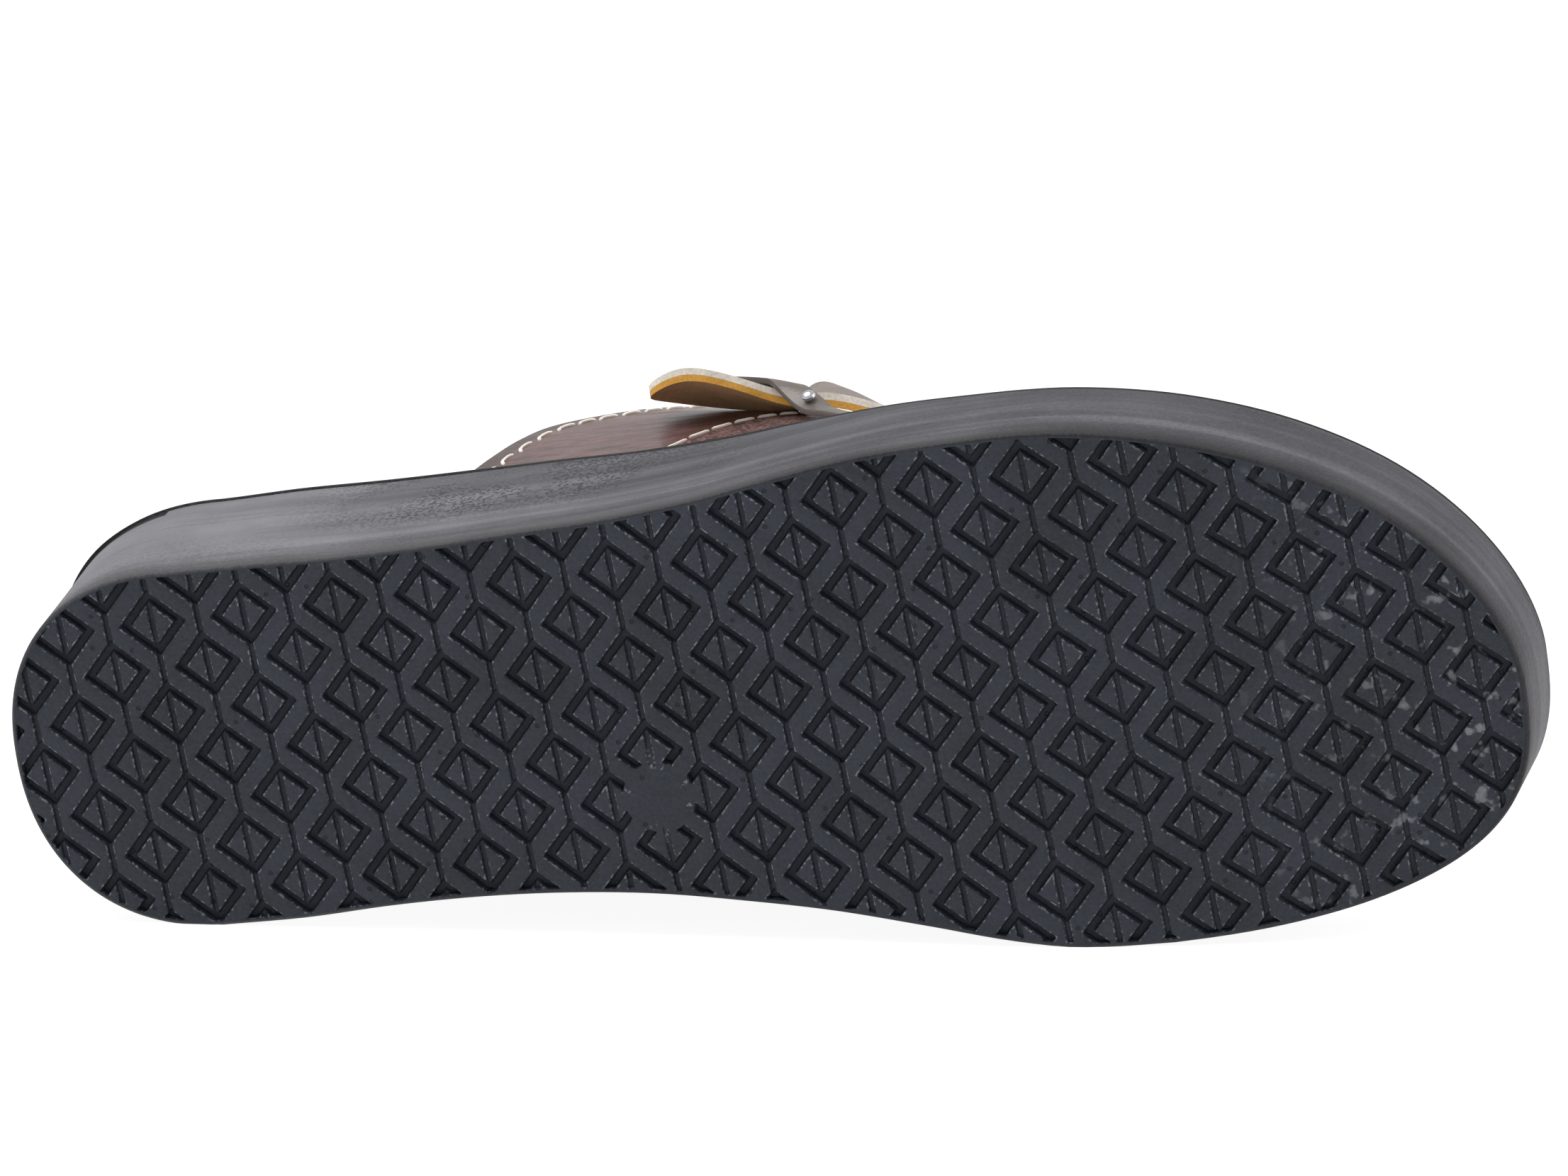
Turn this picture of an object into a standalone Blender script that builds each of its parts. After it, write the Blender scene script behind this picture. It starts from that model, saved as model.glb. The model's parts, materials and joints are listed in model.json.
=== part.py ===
"""Leather flip-flop for the right foot, with a wedge sole and a bow, lying on its inner side.

The shoe is worked out upright, in millimetres: X runs from the back of the heel to the toe, Y
towards the inner (medial) side and Z up from the ground under the sole. An empty then lays
the whole shoe on its inner side, where the sole's edge and the inner strap arm carry it.
"""
import math
from collections import namedtuple

import bmesh
import bpy
import numpy as np
from mathutils import Matrix, Vector

MM = 0.001
GAP = 0.3                    # clearance between pieces that touch on the real shoe

# Sole outline on the ground
SOLE_LENGTH = 250.0
HEEL_RADIUS = 30.3
HEEL_HALF = {-1: 30.3, 1: 31.8}      # half width of the heel, outer and inner side
TOE_TIP_Y = 10.0             # the tip lies towards the big toe
TOE_POWER = {-1: 1.8, 1: 2.8}    # roundness of the toe, outer and inner quarter
HEEL_STEPS = 20
SIDE_STEPS = 15
TOE_STEPS = 11

SideRow = namedtuple("SideRow", "x outer inner")
SIDES = (
    SideRow(30.3, -30.3, 31.8),
    SideRow(45.0, -30.8, 31.3),
    SideRow(60.0, -31.2, 30.0),
    SideRow(75.0, -32.1, 29.3),
    SideRow(90.0, -33.4, 29.4),
    SideRow(105.0, -34.7, 30.4),
    SideRow(120.0, -36.9, 32.5),
    SideRow(135.0, -40.0, 35.1),
    SideRow(150.0, -42.8, 38.6),
    SideRow(163.0, -44.1, 41.8),
    SideRow(175.0, -44.5, 44.1),
    SideRow(190.0, -43.4, 45.0),
)
TOE_START = {-1: 175.0, 1: 190.0}    # where each side turns into its toe quarter

# Wedge, toe spring and how far the wall flares out at the top on each side, by station
WedgeRow = namedtuple("WedgeRow", "x thickness spring outer_flare inner_flare")
WEDGE = (
    WedgeRow(0.0, 35.0, 0.0, 3.0, 3.0),
    WedgeRow(15.0, 36.0, 0.0, 2.1, 2.8),
    WedgeRow(30.0, 37.2, 0.0, 0.6, 2.6),
    WedgeRow(45.0, 37.9, 0.0, 0.1, 3.4),
    WedgeRow(72.0, 38.0, 0.0, 0.0, 7.0),
    WedgeRow(95.0, 36.2, 0.0, 0.0, 8.5),
    WedgeRow(116.0, 33.4, 0.0, 0.0, 6.5),
    WedgeRow(132.0, 30.4, 0.0, 0.0, 4.0),
    WedgeRow(150.0, 26.6, 0.0, 0.0, 1.5),
    WedgeRow(167.0, 24.6, 0.2, 0.0, 0.3),
    WedgeRow(183.0, 23.4, 2.2, 0.0, 0.0),
    WedgeRow(200.0, 23.2, 5.8, 0.0, 0.0),
    WedgeRow(216.0, 22.4, 10.6, 0.0, 0.2),
    WedgeRow(232.0, 21.4, 15.6, 0.0, 0.8),
    WedgeRow(250.0, 20.0, 19.5, 0.3, 0.3),
)

# The wall of the sole, ring by ring from the ground up
NOMINAL_HEIGHT = 30.0
FOOT_ROUND = 0.7
FOOT_HEIGHT = 2.0            # the wall's height from here up to the lip follows the wedge
LIP_HEIGHT = 1.2
LIP_INSET = 0.9
FLARE_POWER = 1.4            # the wall stands steep at the ground and leans out higher up
WallRing = namedtuple("WallRing", "height inset")
WALL_RINGS = (
    WallRing(0.0, FOOT_ROUND),
    WallRing(FOOT_ROUND, 0.0),
    WallRing(NOMINAL_HEIGHT * 0.4, 0.0),
    WallRing(NOMINAL_HEIGHT * 0.72, 0.0),
    WallRing(NOMINAL_HEIGHT - LIP_HEIGHT, 0.0),
    WallRing(NOMINAL_HEIGHT, LIP_INSET),
)
TOP_STATION = 9.0            # distance between the cross cuts that let the top bend
CUT_REACH = 0.001            # points this near a cutting plane lie on it

# Diamond tread: square cells on edge, a ring groove round a square lug in each
TREAD_DIAGONAL = 15.85
TREAD_CENTRE = (162.7, -5.3)
TREAD_TURN = math.radians(-3.2)
TREAD_RIM = 1.6
TREAD_BAR = 3.0
GROOVE_WIDTH = 1.7
GROOVE_DEPTH = 1.3
GROOVE_DRAFT = 0.2
CUT_WELD = 0.4               # cut points nearer than this become one
SHORTEST_LUG_EDGE = 0.3
SHARPEST_CORNER = 0.02       # keeps the inset of a needle-sharp corner finite
PAD_CENTRE = (103.0, 10.5)   # bare pad in the tread
PAD_HALF = (7.5, 8.5)

# Insole
INSOLE_INSET = 5.8
INSOLE_THICKNESS = 2.6
INSOLE_ROUND = 0.8

# Upper: one leather wall over the instep, between a back edge and a front edge
LEATHER = 2.4
INNER_FULLNESS = 2.7         # how square the inner half of a section is
INNER_BULGE = 9.5            # the slack inner arm bows out
BULGE_AT = 0.36              # share of the section's height where the bow is greatest
UPPER_COLUMNS = 44
UPPER_ROWS = 11
SPREAD = 1.35                # evens out the points up the steep sides
NORMAL_STEP_X = 0.5          # steps along and round the strap that give its normal
NORMAL_STEP_SHARE = 0.004

InstepRow = namedtuple("InstepRow", "x height ridge fullness margin")
INSTEP = (
    InstepRow(68.0, 72.0, -1.0, 2.45, 2.0),
    InstepRow(85.0, 69.5, 0.0, 2.45, 2.0),
    InstepRow(105.0, 64.0, 1.5, 2.35, 2.0),
    InstepRow(130.0, 53.0, 4.0, 2.05, 3.0),
    InstepRow(150.0, 44.0, 6.5, 1.7, 6.5),
    InstepRow(175.0, 34.0, 10.0, 1.6, 9.0),
    InstepRow(200.0, 25.0, 13.0, 1.6, 10.0),
    InstepRow(208.0, 22.0, 13.5, 1.6, 10.0),
)
StrapRow = namedtuple("StrapRow", "share back front")
STRAP = (
    StrapRow(0.0, 72.5, 113.0),
    StrapRow(0.04, 73.2, 125.0),
    StrapRow(0.08, 74.2, 138.0),
    StrapRow(0.12, 75.8, 151.0),
    StrapRow(0.16, 79.5, 162.0),
    StrapRow(0.20, 88.5, 171.0),
    StrapRow(0.28, 104.5, 183.0),
    StrapRow(0.38, 121.0, 194.5),
    StrapRow(0.50, 130.0, 203.0),
    StrapRow(0.62, 121.0, 194.5),
    StrapRow(0.72, 104.5, 183.0),
    StrapRow(0.80, 88.5, 171.0),
    StrapRow(0.84, 79.5, 162.0),
    StrapRow(0.88, 75.8, 151.0),
    StrapRow(0.92, 74.2, 138.0),
    StrapRow(0.96, 73.2, 125.0),
    StrapRow(1.0, 72.5, 113.0),
)

# Toe post under the tip of the strap
POST_X = 195.5
POST_LENGTH = 10.0
POST_WIDTH = 5.6
POST_SIDES = 24

# Bow on the outer arm: two leaves of leather, drawn in at the waist by a band
BOW_X = 126.0
BOW_SHARE = 0.19
MM_PER_SHARE = 190.0         # length up the strap's face for one share, near the bow
LEAF_THICKNESS = 1.5
LEAF_WAIST = 5.0
LEAF_COLUMNS = 28
LEAF_ROWS = 6
LEAF_SEAT = 0.4
LEAF_TIP = 0.985             # share of a petal's length where its blunt tip is cut
PetalRow = namedtuple("PetalRow", "length half_width turn lift far_lift")
PETALS = {-1: PetalRow(27.5, 11.5, 20.0, 7.3, 3.0), 1: PetalRow(17.5, 8.0, 45.0, 0.4, 0.8)}
WAIST_LIFT = 1.3             # the gathered waist lifts its lower edge
SWELL_FROM = 0.12            # shares of a petal's length where its width grows
SWELL_OVER = 0.5
TIP_POWER = 3
NARROWEST_TIP = 0.01
CREST_TURN = 0.62 * math.pi  # a petal lifts most a little before its tip
TURN_RATE = 1.5              # how fast the back petal's turn becomes the front one's

BAND_TURN = math.radians(148.0)
BAND_DROP = -4.0             # the band crosses the waist below its middle
BAND_WIDTH = {-1: 6.0, 0: 8.0, 1: 10.0}    # at the lower end, over the waist, at the upper end
BAND_THICKNESS = 1.0
BAND_REACH = {-1: 13.0, 1: 22.0}    # to its lower end and to its upper end
BAND_STEPS = 22
BAND_ROWS = 4
BAND_FALL_FROM = 1.6         # half widths of the leaf where the band has come down to the strap
BAND_FALL_OVER = 0.5
STUD_RADIUS = 1.2
STUD_FLAT = 0.6              # height of the dome against its radius
STUD_REACH = -0.4            # along the band, from its middle to an end
STUD_HALF = 0.3              # across the band
STUD_STEP = 0.04             # steps along and across the band that give the stud's direction
STUD_SEGMENTS = 14
STUD_RINGS = 8

SMOOTH_ANGLE = math.radians(35.0)
SIDE_LEAN = 0.7              # a face of the hull that points this much inwards is its inner side


def column_curve(rows, key, column):
    """Smooth curve through a table's column, as a function of its key column."""
    xs = [getattr(row, key) for row in rows]
    ys = [getattr(row, column) for row in rows]
    slopes = []
    for i in range(len(xs)):
        a, b = max(i - 1, 0), min(i + 1, len(xs) - 1)
        slopes.append((ys[b] - ys[a]) / (xs[b] - xs[a]))

    def value(x):
        x = min(max(x, xs[0]), xs[-1])
        i = min(max(np.searchsorted(xs, x) - 1, 0), len(xs) - 2)
        span = xs[i + 1] - xs[i]
        t = (x - xs[i]) / span
        rise = (2 * t**3 - 3 * t**2 + 1) * ys[i] + (3 * t**2 - 2 * t**3) * ys[i + 1]
        bend = (t**3 - 2 * t**2 + t) * slopes[i] + (t**3 - t**2) * slopes[i + 1]
        return rise + span * bend

    return value


outer_side = column_curve(SIDES, "x", "outer")
inner_side = column_curve(SIDES, "x", "inner")
thickness = column_curve(WEDGE, "x", "thickness")
spring = column_curve(WEDGE, "x", "spring")
flares = {
    -1: column_curve(WEDGE, "x", "outer_flare"),
    1: column_curve(WEDGE, "x", "inner_flare"),
}
instep_height = column_curve(INSTEP, "x", "height")
instep_ridge = column_curve(INSTEP, "x", "ridge")
outer_fullness = column_curve(INSTEP, "x", "fullness")
strap_margin = column_curve(INSTEP, "x", "margin")
strap_back = column_curve(STRAP, "share", "back")
strap_front = column_curve(STRAP, "share", "front")


def sole_top(x):
    """Height of the sole's upper face above the ground."""
    return spring(x) + thickness(x)


def toe_quarter(side):
    """Points from one side's widest place round to the tip of the toe."""
    start = TOE_START[side]
    widest = outer_side(start) if side < 0 else inner_side(start)
    power = 2.0 / TOE_POWER[side]
    points = []
    for k in range(TOE_STEPS + 1):
        angle = 0.5 * math.pi * k / TOE_STEPS
        x = start + (SOLE_LENGTH - start) * math.sin(angle)**power
        y = TOE_TIP_Y + (widest - TOE_TIP_Y) * math.cos(angle)**power
        points.append(Vector((x, y)))
    return points


def sole_outline():
    """Closed outline of the ground face: heel arc, inner side, toe, outer side."""
    points = []
    for k in range(HEEL_STEPS + 1):
        angle = math.pi * k / HEEL_STEPS
        half = HEEL_HALF[-1 if math.cos(angle) > 0 else 1]
        points.append(Vector((HEEL_RADIUS * (1 - math.sin(angle)), -half * math.cos(angle))))
    for x in np.linspace(HEEL_RADIUS, TOE_START[1], SIDE_STEPS + 1)[1:-1]:
        points.append(Vector((x, inner_side(x))))
    points += toe_quarter(1)
    points += toe_quarter(-1)[-2::-1]
    for x in np.linspace(TOE_START[-1], HEEL_RADIUS, SIDE_STEPS + 1)[1:-1]:
        points.append(Vector((x, outer_side(x))))
    return points


def flare_at(point, share):
    """How far the wall stands out over the ground outline at a share of its height."""
    side = -1 if point.y < TOE_TIP_Y * max(0.0, point.x) / SOLE_LENGTH else 1
    return flares[side](point.x) * share**FLARE_POWER


def inset_outline(points, inset, share):
    """The outline moved inwards by inset, less the flare at that share of the height."""
    moved = []
    for i, point in enumerate(points):
        along = (points[(i + 1) % len(points)] - points[i - 1]).normalized()
        moved.append(point + (inset - flare_at(point, share)) * Vector((along.y, -along.x)))
    return moved


def outline_prism(rings, wall_height):
    """A prism over the sole outline with one ring per row and flat ends."""
    bm = bmesh.new()
    outline = sole_outline()
    loops = []
    for ring in rings:
        share = ring.height / wall_height if wall_height else 1.0
        moved = inset_outline(outline, ring.inset, share)
        loops.append([bm.verts.new((p.x, p.y, ring.height)) for p in moved])
    for low, high in zip(loops, loops[1:]):
        for i in range(len(low)):
            bm.faces.new((low[i - 1], low[i], high[i], high[i - 1]))
    ground = bm.faces.new(loops[0])
    bm.faces.new(loops[-1])
    bmesh.ops.recalc_face_normals(bm, faces=bm.faces)
    return bm, ground


def cut_across(bm, keep_whole=None):
    """Cuts a prism at regular stations, so that its faces can follow the wedge."""
    for x in np.arange(TOP_STATION, SOLE_LENGTH, TOP_STATION):
        cut_faces(bm, [f for f in bm.faces if f is not keep_whole], (x, 0, 0), (1, 0, 0))


def cut_faces(bm, faces, place, normal):
    """Cuts some faces where they meet a plane."""
    geometry = faces + list({e for f in faces for e in f.edges})
    geometry += list({v for f in faces for v in f.verts})
    bmesh.ops.bisect_plane(bm, geom=geometry, dist=CUT_REACH, plane_co=place, plane_no=normal)


def cut_tread(bm, ground):
    """Cuts the ground face into diamond cells and sinks a ring groove into each."""
    bmesh.ops.inset_individual(bm, faces=[ground], thickness=TREAD_RIM, use_even_offset=True)
    ground.material_index = 1
    pitch = TREAD_DIAGONAL / math.sqrt(2)
    reach = int(SOLE_LENGTH / pitch) + 2
    centre = Vector((*TREAD_CENTRE, 0.0))
    for quarter in (0.25, -0.25):
        angle = TREAD_TURN + quarter * math.pi
        normal = Vector((math.cos(angle), math.sin(angle), 0.0))
        for k in range(-reach, reach):
            tread = [f for f in bm.faces if f.material_index == 1]
            cut_faces(bm, tread, centre + normal * pitch * (k + 0.5), normal)
    cut_points = {v for f in bm.faces if f.material_index == 1 for v in f.verts}
    bmesh.ops.remove_doubles(bm, verts=list(cut_points), dist=CUT_WELD)
    cells = []
    for face in bm.faces:
        if face.material_index != 1:
            continue
        middle = face.calc_center_median()
        on_pad = all(abs(middle[i] - PAD_CENTRE[i]) < PAD_HALF[i] for i in (0, 1))
        if not on_pad and has_room(face):
            cells.append(face)
    for width, depth in (
        (0.5 * TREAD_BAR, 0.0),
        (GROOVE_DRAFT, -GROOVE_DEPTH),
        (GROOVE_WIDTH, 0.0),
        (GROOVE_DRAFT, GROOVE_DEPTH),
    ):
        bmesh.ops.inset_individual(bm, faces=cells, thickness=width, depth=depth, use_even_offset=True)
    for face in bm.faces:
        face.material_index = 0


def has_room(face):
    """Whether each edge of a tread cell lasts when the ring groove is inset into it."""
    corners = [vert.co.xy for vert in face.verts]
    inset = 0.5 * TREAD_BAR + GROOVE_WIDTH + 2.0 * GROOVE_DRAFT
    inwards = 1.0 if face.normal.z > 0 else -1.0
    moved = []
    for i, corner in enumerate(corners):
        before = (corner - corners[i - 1]).normalized()
        after = (corners[(i + 1) % len(corners)] - corner).normalized()
        sides = [inwards * Vector((-step.y, step.x)) for step in (before, after)]
        spread = max(SHARPEST_CORNER, 1.0 + sides[0].dot(sides[1]))
        moved.append(corner + (sides[0] + sides[1]) * inset / spread)
    for i, corner in enumerate(corners):
        along = (corner - corners[i - 1]).normalized()
        if (moved[i] - moved[i - 1]).dot(along) < SHORTEST_LUG_EDGE:
            return False
    return True


def make_sole():
    """Moulded wedge sole with its tread, wall and lip."""
    bm, ground = outline_prism(WALL_RINGS, NOMINAL_HEIGHT)
    cut_across(bm, keep_whole=ground)
    cut_tread(bm, ground)
    nominal = (0.0, FOOT_HEIGHT, NOMINAL_HEIGHT - LIP_HEIGHT, NOMINAL_HEIGHT)
    for vert in bm.verts:
        x, y, z = vert.co
        tall = thickness(x)
        z = np.interp(z, nominal, (0.0, FOOT_HEIGHT, tall - LIP_HEIGHT, tall))
        vert.co = (x, y, z + spring(x))
    return finish("sole", bm)


def make_insole():
    """Footbed cover, inside the strap's feet."""
    rings = (
        WallRing(0.0, INSOLE_INSET),
        WallRing(INSOLE_THICKNESS - INSOLE_ROUND, INSOLE_INSET),
        WallRing(INSOLE_THICKNESS, INSOLE_INSET + INSOLE_ROUND),
    )
    bm, _ = outline_prism(rings, None)
    cut_across(bm)
    for vert in bm.verts:
        x, y, z = vert.co
        vert.co = (x, y, z + sole_top(x) + GAP)
    return finish("insole", bm)


def last_point(x, share):
    """Point on the inside of the strap: share 0 is the outer foot, 1 the inner foot."""
    ridge = instep_ridge(x)
    inset = strap_margin(x) + LEATHER
    half = min(share, 1.0 - share) * 2.0
    angle = 0.5 * math.pi * half**SPREAD
    power = 2.0 / (outer_fullness(x) if share <= 0.5 else INNER_FULLNESS)
    across = math.cos(angle)**power
    rise = math.sin(angle)**power
    bow = math.sin(math.pi * min(1.0, rise / (2.0 * BULGE_AT))) if rise < 2.0 * BULGE_AT else 0.0
    if share <= 0.5:
        foot = outer_edge(x) + inset
        y = ridge + (foot - ridge) * across
    else:
        foot = inner_edge(x) + flares[1](x) - inset
        y = ridge + (foot - ridge) * across + INNER_BULGE * bow
    return Vector((x, y, sole_top(x) + 2.0 * GAP + instep_height(x) * rise))


def toe_edge(x, side):
    """Sole edge past the widest place, on the toe quarter."""
    start = TOE_START[side]
    widest = outer_side(start) if side < 0 else inner_side(start)
    share = min(1.0, (x - start) / (SOLE_LENGTH - start))
    power = TOE_POWER[side]
    return TOE_TIP_Y + (widest - TOE_TIP_Y) * (1.0 - share**power)**(1.0 / power)


def outer_edge(x):
    """Outer edge of the sole at a station."""
    return toe_edge(x, -1) if x > TOE_START[-1] else outer_side(x)


def inner_edge(x):
    """Inner edge of the sole at a station."""
    return toe_edge(x, 1) if x > TOE_START[1] else inner_side(x)


def last_normal(x, share):
    """Outward normal of the strap's surface."""
    low, high = max(0.0, share - NORMAL_STEP_SHARE), min(1.0, share + NORMAL_STEP_SHARE)
    forward = last_point(x + NORMAL_STEP_X, share) - last_point(x - NORMAL_STEP_X, share)
    sideways = last_point(x, high) - last_point(x, low)
    return forward.cross(sideways).normalized()


def slab(low_rows, high_rows):
    """Closed solid between two sheets of points."""
    bm = bmesh.new()
    sheets = [[[bm.verts.new(p) for p in row] for row in rows] for rows in (low_rows, high_rows)]
    for grid in sheets:
        for near, far in zip(grid, grid[1:]):
            for i in range(len(near) - 1):
                bm.faces.new((near[i], near[i + 1], far[i + 1], far[i]))
    rims = []
    for grid in sheets:
        rim = grid[0][:-1] + [row[-1] for row in grid[:-1]]
        rim += grid[-1][:0:-1] + [row[0] for row in grid[:0:-1]]
        rims.append(rim)
    for i in range(len(rims[0])):
        bm.faces.new((rims[0][i - 1], rims[0][i], rims[1][i], rims[1][i - 1]))
    bmesh.ops.recalc_face_normals(bm, faces=bm.faces)
    return bm


def make_upper():
    """Strap: a leather wall between its back edge and its front edge."""
    inside, outside = [], []
    for r in np.linspace(0.0, 1.0, UPPER_ROWS):
        inside.append([])
        outside.append([])
        for share in np.linspace(0.0, 1.0, UPPER_COLUMNS + 1):
            back, front = strap_back(share), strap_front(share)
            x = back + r * (front - back)
            lining = last_point(x, share)
            face = lining + last_normal(x, share) * LEATHER
            face.z = max(face.z, sole_top(face.x) + 2.0 * GAP)
            inside[-1].append(lining)
            outside[-1].append(face)
    return finish("upper", slab(inside, outside))


def make_toe_post():
    """Thong between the toes, from the insole to the inside of the strap."""
    bm = bmesh.new()
    middle_y = instep_ridge(POST_X)
    loops = ([], [])
    for k in range(POST_SIDES):
        angle = 2.0 * math.pi * k / POST_SIDES
        cap = 0.5 * (POST_LENGTH - POST_WIDTH)
        x = POST_X + math.copysign(cap, math.cos(angle)) + 0.5 * POST_WIDTH * math.cos(angle)
        y = middle_y + 0.5 * POST_WIDTH * math.sin(angle)
        floor = sole_top(x) + INSOLE_THICKNESS + 2.0 * GAP
        loops[0].append(bm.verts.new((x, y, floor)))
        loops[1].append(bm.verts.new((x, y, last_point(x, 0.5).z - 2.0 * GAP)))
    for i in range(POST_SIDES):
        bm.faces.new((loops[0][i - 1], loops[0][i], loops[1][i], loops[1][i - 1]))
    bm.faces.new(loops[0])
    bm.faces.new(loops[1])
    bmesh.ops.recalc_face_normals(bm, faces=bm.faces)
    return finish("toe_post", bm)


def strap_face(ahead, up):
    """Point on the strap's outer face near the bow, and the face's outward normal."""
    x = BOW_X + ahead
    share = BOW_SHARE + up / MM_PER_SHARE
    outward = last_normal(x, share)
    return last_point(x, share) + outward * LEATHER, outward


def smooth_step(t):
    """Eases from 0 to 1."""
    t = min(max(t, 0.0), 1.0)
    return t * t * (3.0 - 2.0 * t)


def petal_width(u):
    """Half width of a leaf: narrow at the waist, wide on the petals, round at the tips."""
    swell = smooth_step((abs(u) - SWELL_FROM) / SWELL_OVER)
    round_tip = math.sqrt(max(NARROWEST_TIP, 1.0 - abs(u)**TIP_POWER))
    return (LEAF_WAIST + (PETALS[-1 if u < 0 else 1].half_width - LEAF_WAIST) * swell) * round_tip


def leaf_rise(u, v):
    """How far a leaf stands off the strap: its lower edge lifts most."""
    petal = PETALS[-1 if u < 0 else 1]
    crest = math.sin(CREST_TURN * min(1.0, abs(u)))**2
    near = 0.5 * (1.0 - v)
    tip = smooth_step(2.0 * abs(u) - 1.0)
    return near * (WAIST_LIFT + (petal.lift - WAIST_LIFT) * crest) + (1.0 - near) * petal.far_lift * tip


def turned(a, c, angle):
    """Turns a step along and across a piece into a step ahead and up on the strap."""
    return a * math.cos(angle) - c * math.sin(angle), a * math.sin(angle) + c * math.cos(angle)


def bow_turn(u):
    """Turn of the bow up the arm: the front petal is turned more than the back one."""
    back, front = PETALS[-1].turn, PETALS[1].turn
    return math.radians(back + (front - back) * smooth_step(0.5 + TURN_RATE * u))


def leaf_point(u, v, height):
    """Point of a leaf: u runs from the back tip to the front tip, v from its lower edge up."""
    length = PETALS[-1 if u < 0 else 1].length
    face, outward = strap_face(*turned(u * length, v * petal_width(u), bow_turn(u)))
    return face + outward * (height + leaf_rise(u, v))


def make_leaf(name, height):
    """One leather leaf of the bow at its height over the strap."""
    places = np.linspace(-LEAF_TIP, LEAF_TIP, LEAF_COLUMNS + 1)
    sheets = []
    for level in (height, height + LEAF_THICKNESS):
        rows = []
        for v in np.linspace(-1.0, 1.0, LEAF_ROWS + 1):
            rows.append([leaf_point(u, v, level) for u in places])
        sheets.append(rows)
    return finish(name, slab(*sheets))


def band_height(ahead, up):
    """Height of the band's underside over the strap: it climbs over the leaves' waist."""
    u = 0.0
    for _ in range(3):
        a, c = turned(ahead, up, -bow_turn(u))
        u = a / PETALS[-1 if a < 0 else 1].length
    v = c / petal_width(u)
    cover = smooth_step((BAND_FALL_FROM - abs(v)) / BAND_FALL_OVER)
    strap_level = 2.5 * GAP
    leaves_level = LEAF_SEAT + 2.0 * LEAF_THICKNESS + 2.5 * GAP
    leaves_level += leaf_rise(u, min(max(v, -1.0), 1.0))
    return strap_level + (leaves_level - strap_level) * cover


def band_point(reach, half, level):
    """Point of the band: reach runs from its lower end to its upper end, half across it."""
    end = -1 if reach < 0 else 1
    width = BAND_WIDTH[end] + (BAND_WIDTH[0] - BAND_WIDTH[end]) * smooth_step(1.0 - abs(reach))
    ahead, up = turned(reach * BAND_REACH[end], half * width, BAND_TURN)
    up += BAND_DROP
    face, outward = strap_face(ahead, up)
    return face + outward * (band_height(ahead, up) + level)


def make_band():
    """Leather band laid over the bow's waist and down to the strap at both ends."""
    sheets = []
    for level in (0.0, BAND_THICKNESS):
        rows = []
        for half in np.linspace(-0.5, 0.5, BAND_ROWS + 1):
            reaches = np.linspace(-1.0, 1.0, BAND_STEPS + 1)
            rows.append([band_point(reach, half, level) for reach in reaches])
        sheets.append(rows)
    return finish("bow_band", slab(*sheets))


def make_stud():
    """Small domed metal stud on the band."""
    seat = band_point(STUD_REACH, STUD_HALF, BAND_THICKNESS)
    along = band_point(STUD_REACH + STUD_STEP, STUD_HALF, BAND_THICKNESS) - seat
    across = band_point(STUD_REACH, STUD_HALF + STUD_STEP, BAND_THICKNESS) - seat
    outward = along.cross(across).normalized()
    if outward.y > 0:
        outward.negate()
    bm = bmesh.new()
    segments, rings = STUD_SEGMENTS, STUD_RINGS
    bmesh.ops.create_uvsphere(bm, u_segments=segments, v_segments=rings, radius=STUD_RADIUS)
    bmesh.ops.scale(bm, vec=(1.0, 1.0, STUD_FLAT), verts=bm.verts)
    turn = outward.to_track_quat("Z", "Y").to_matrix().to_4x4()
    middle = seat + outward * (GAP + STUD_FLAT * STUD_RADIUS)
    bmesh.ops.transform(bm, matrix=Matrix.Translation(middle) @ turn, verts=bm.verts)
    return finish("stud", bm)


def principled(name, colour, roughness, metallic=0.0):
    """Material with the piece's colour and gloss."""
    material = bpy.data.materials.new(name)
    material.use_nodes = True
    shader = material.node_tree.nodes["Principled BSDF"]
    shader.inputs["Base Color"].default_value = (*colour, 1.0)
    shader.inputs["Roughness"].default_value = roughness
    shader.inputs["Metallic"].default_value = metallic
    return material


FINISHES = {
    "sole": ((0.035, 0.038, 0.044), 0.55),
    "insole": ((0.10, 0.05, 0.04), 0.5),
    "upper": ((0.055, 0.028, 0.026), 0.35),
    "toe_post": ((0.055, 0.028, 0.026), 0.4),
    "bow_leaf_under": ((0.50, 0.25, 0.05), 0.8),
    "bow_leaf_top": ((0.66, 0.60, 0.50), 0.7),
    "bow_band": ((0.17, 0.15, 0.14), 0.4),
    "stud": ((0.75, 0.76, 0.80), 0.15, 1.0),
}


def finish(name, bm):
    """Makes a named object of a piece that was worked out in millimetres."""
    bmesh.ops.scale(bm, vec=(MM, MM, MM), verts=bm.verts)
    mesh = bpy.data.meshes.new(name)
    bm.to_mesh(mesh)
    bm.free()
    mesh.shade_smooth()
    mesh.set_sharp_from_angle(angle=SMOOTH_ANGLE)
    mesh.materials.append(principled(name, *FINISHES[name]))
    piece = bpy.data.objects.new(name, mesh)
    bpy.data.collections["leather_flip_flop"].objects.link(piece)
    return piece


def world_mesh(piece):
    """Triangulated evaluated mesh of a piece."""
    bm = bmesh.new()
    bm.from_object(piece, bpy.context.evaluated_depsgraph_get())
    bmesh.ops.triangulate(bm, faces=bm.faces)
    return bm


def centre_of_mass(pieces):
    """Common centre of the pieces' volumes."""
    total, moment = 0.0, Vector()
    for piece in pieces:
        bm = world_mesh(piece)
        for face in bm.faces:
            a, b, c = (v.co for v in face.verts)
            volume = a.dot(b.cross(c)) / 6.0
            total += volume
            moment += volume * (a + b + c) / 4.0
        bm.free()
    return moment / total


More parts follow.
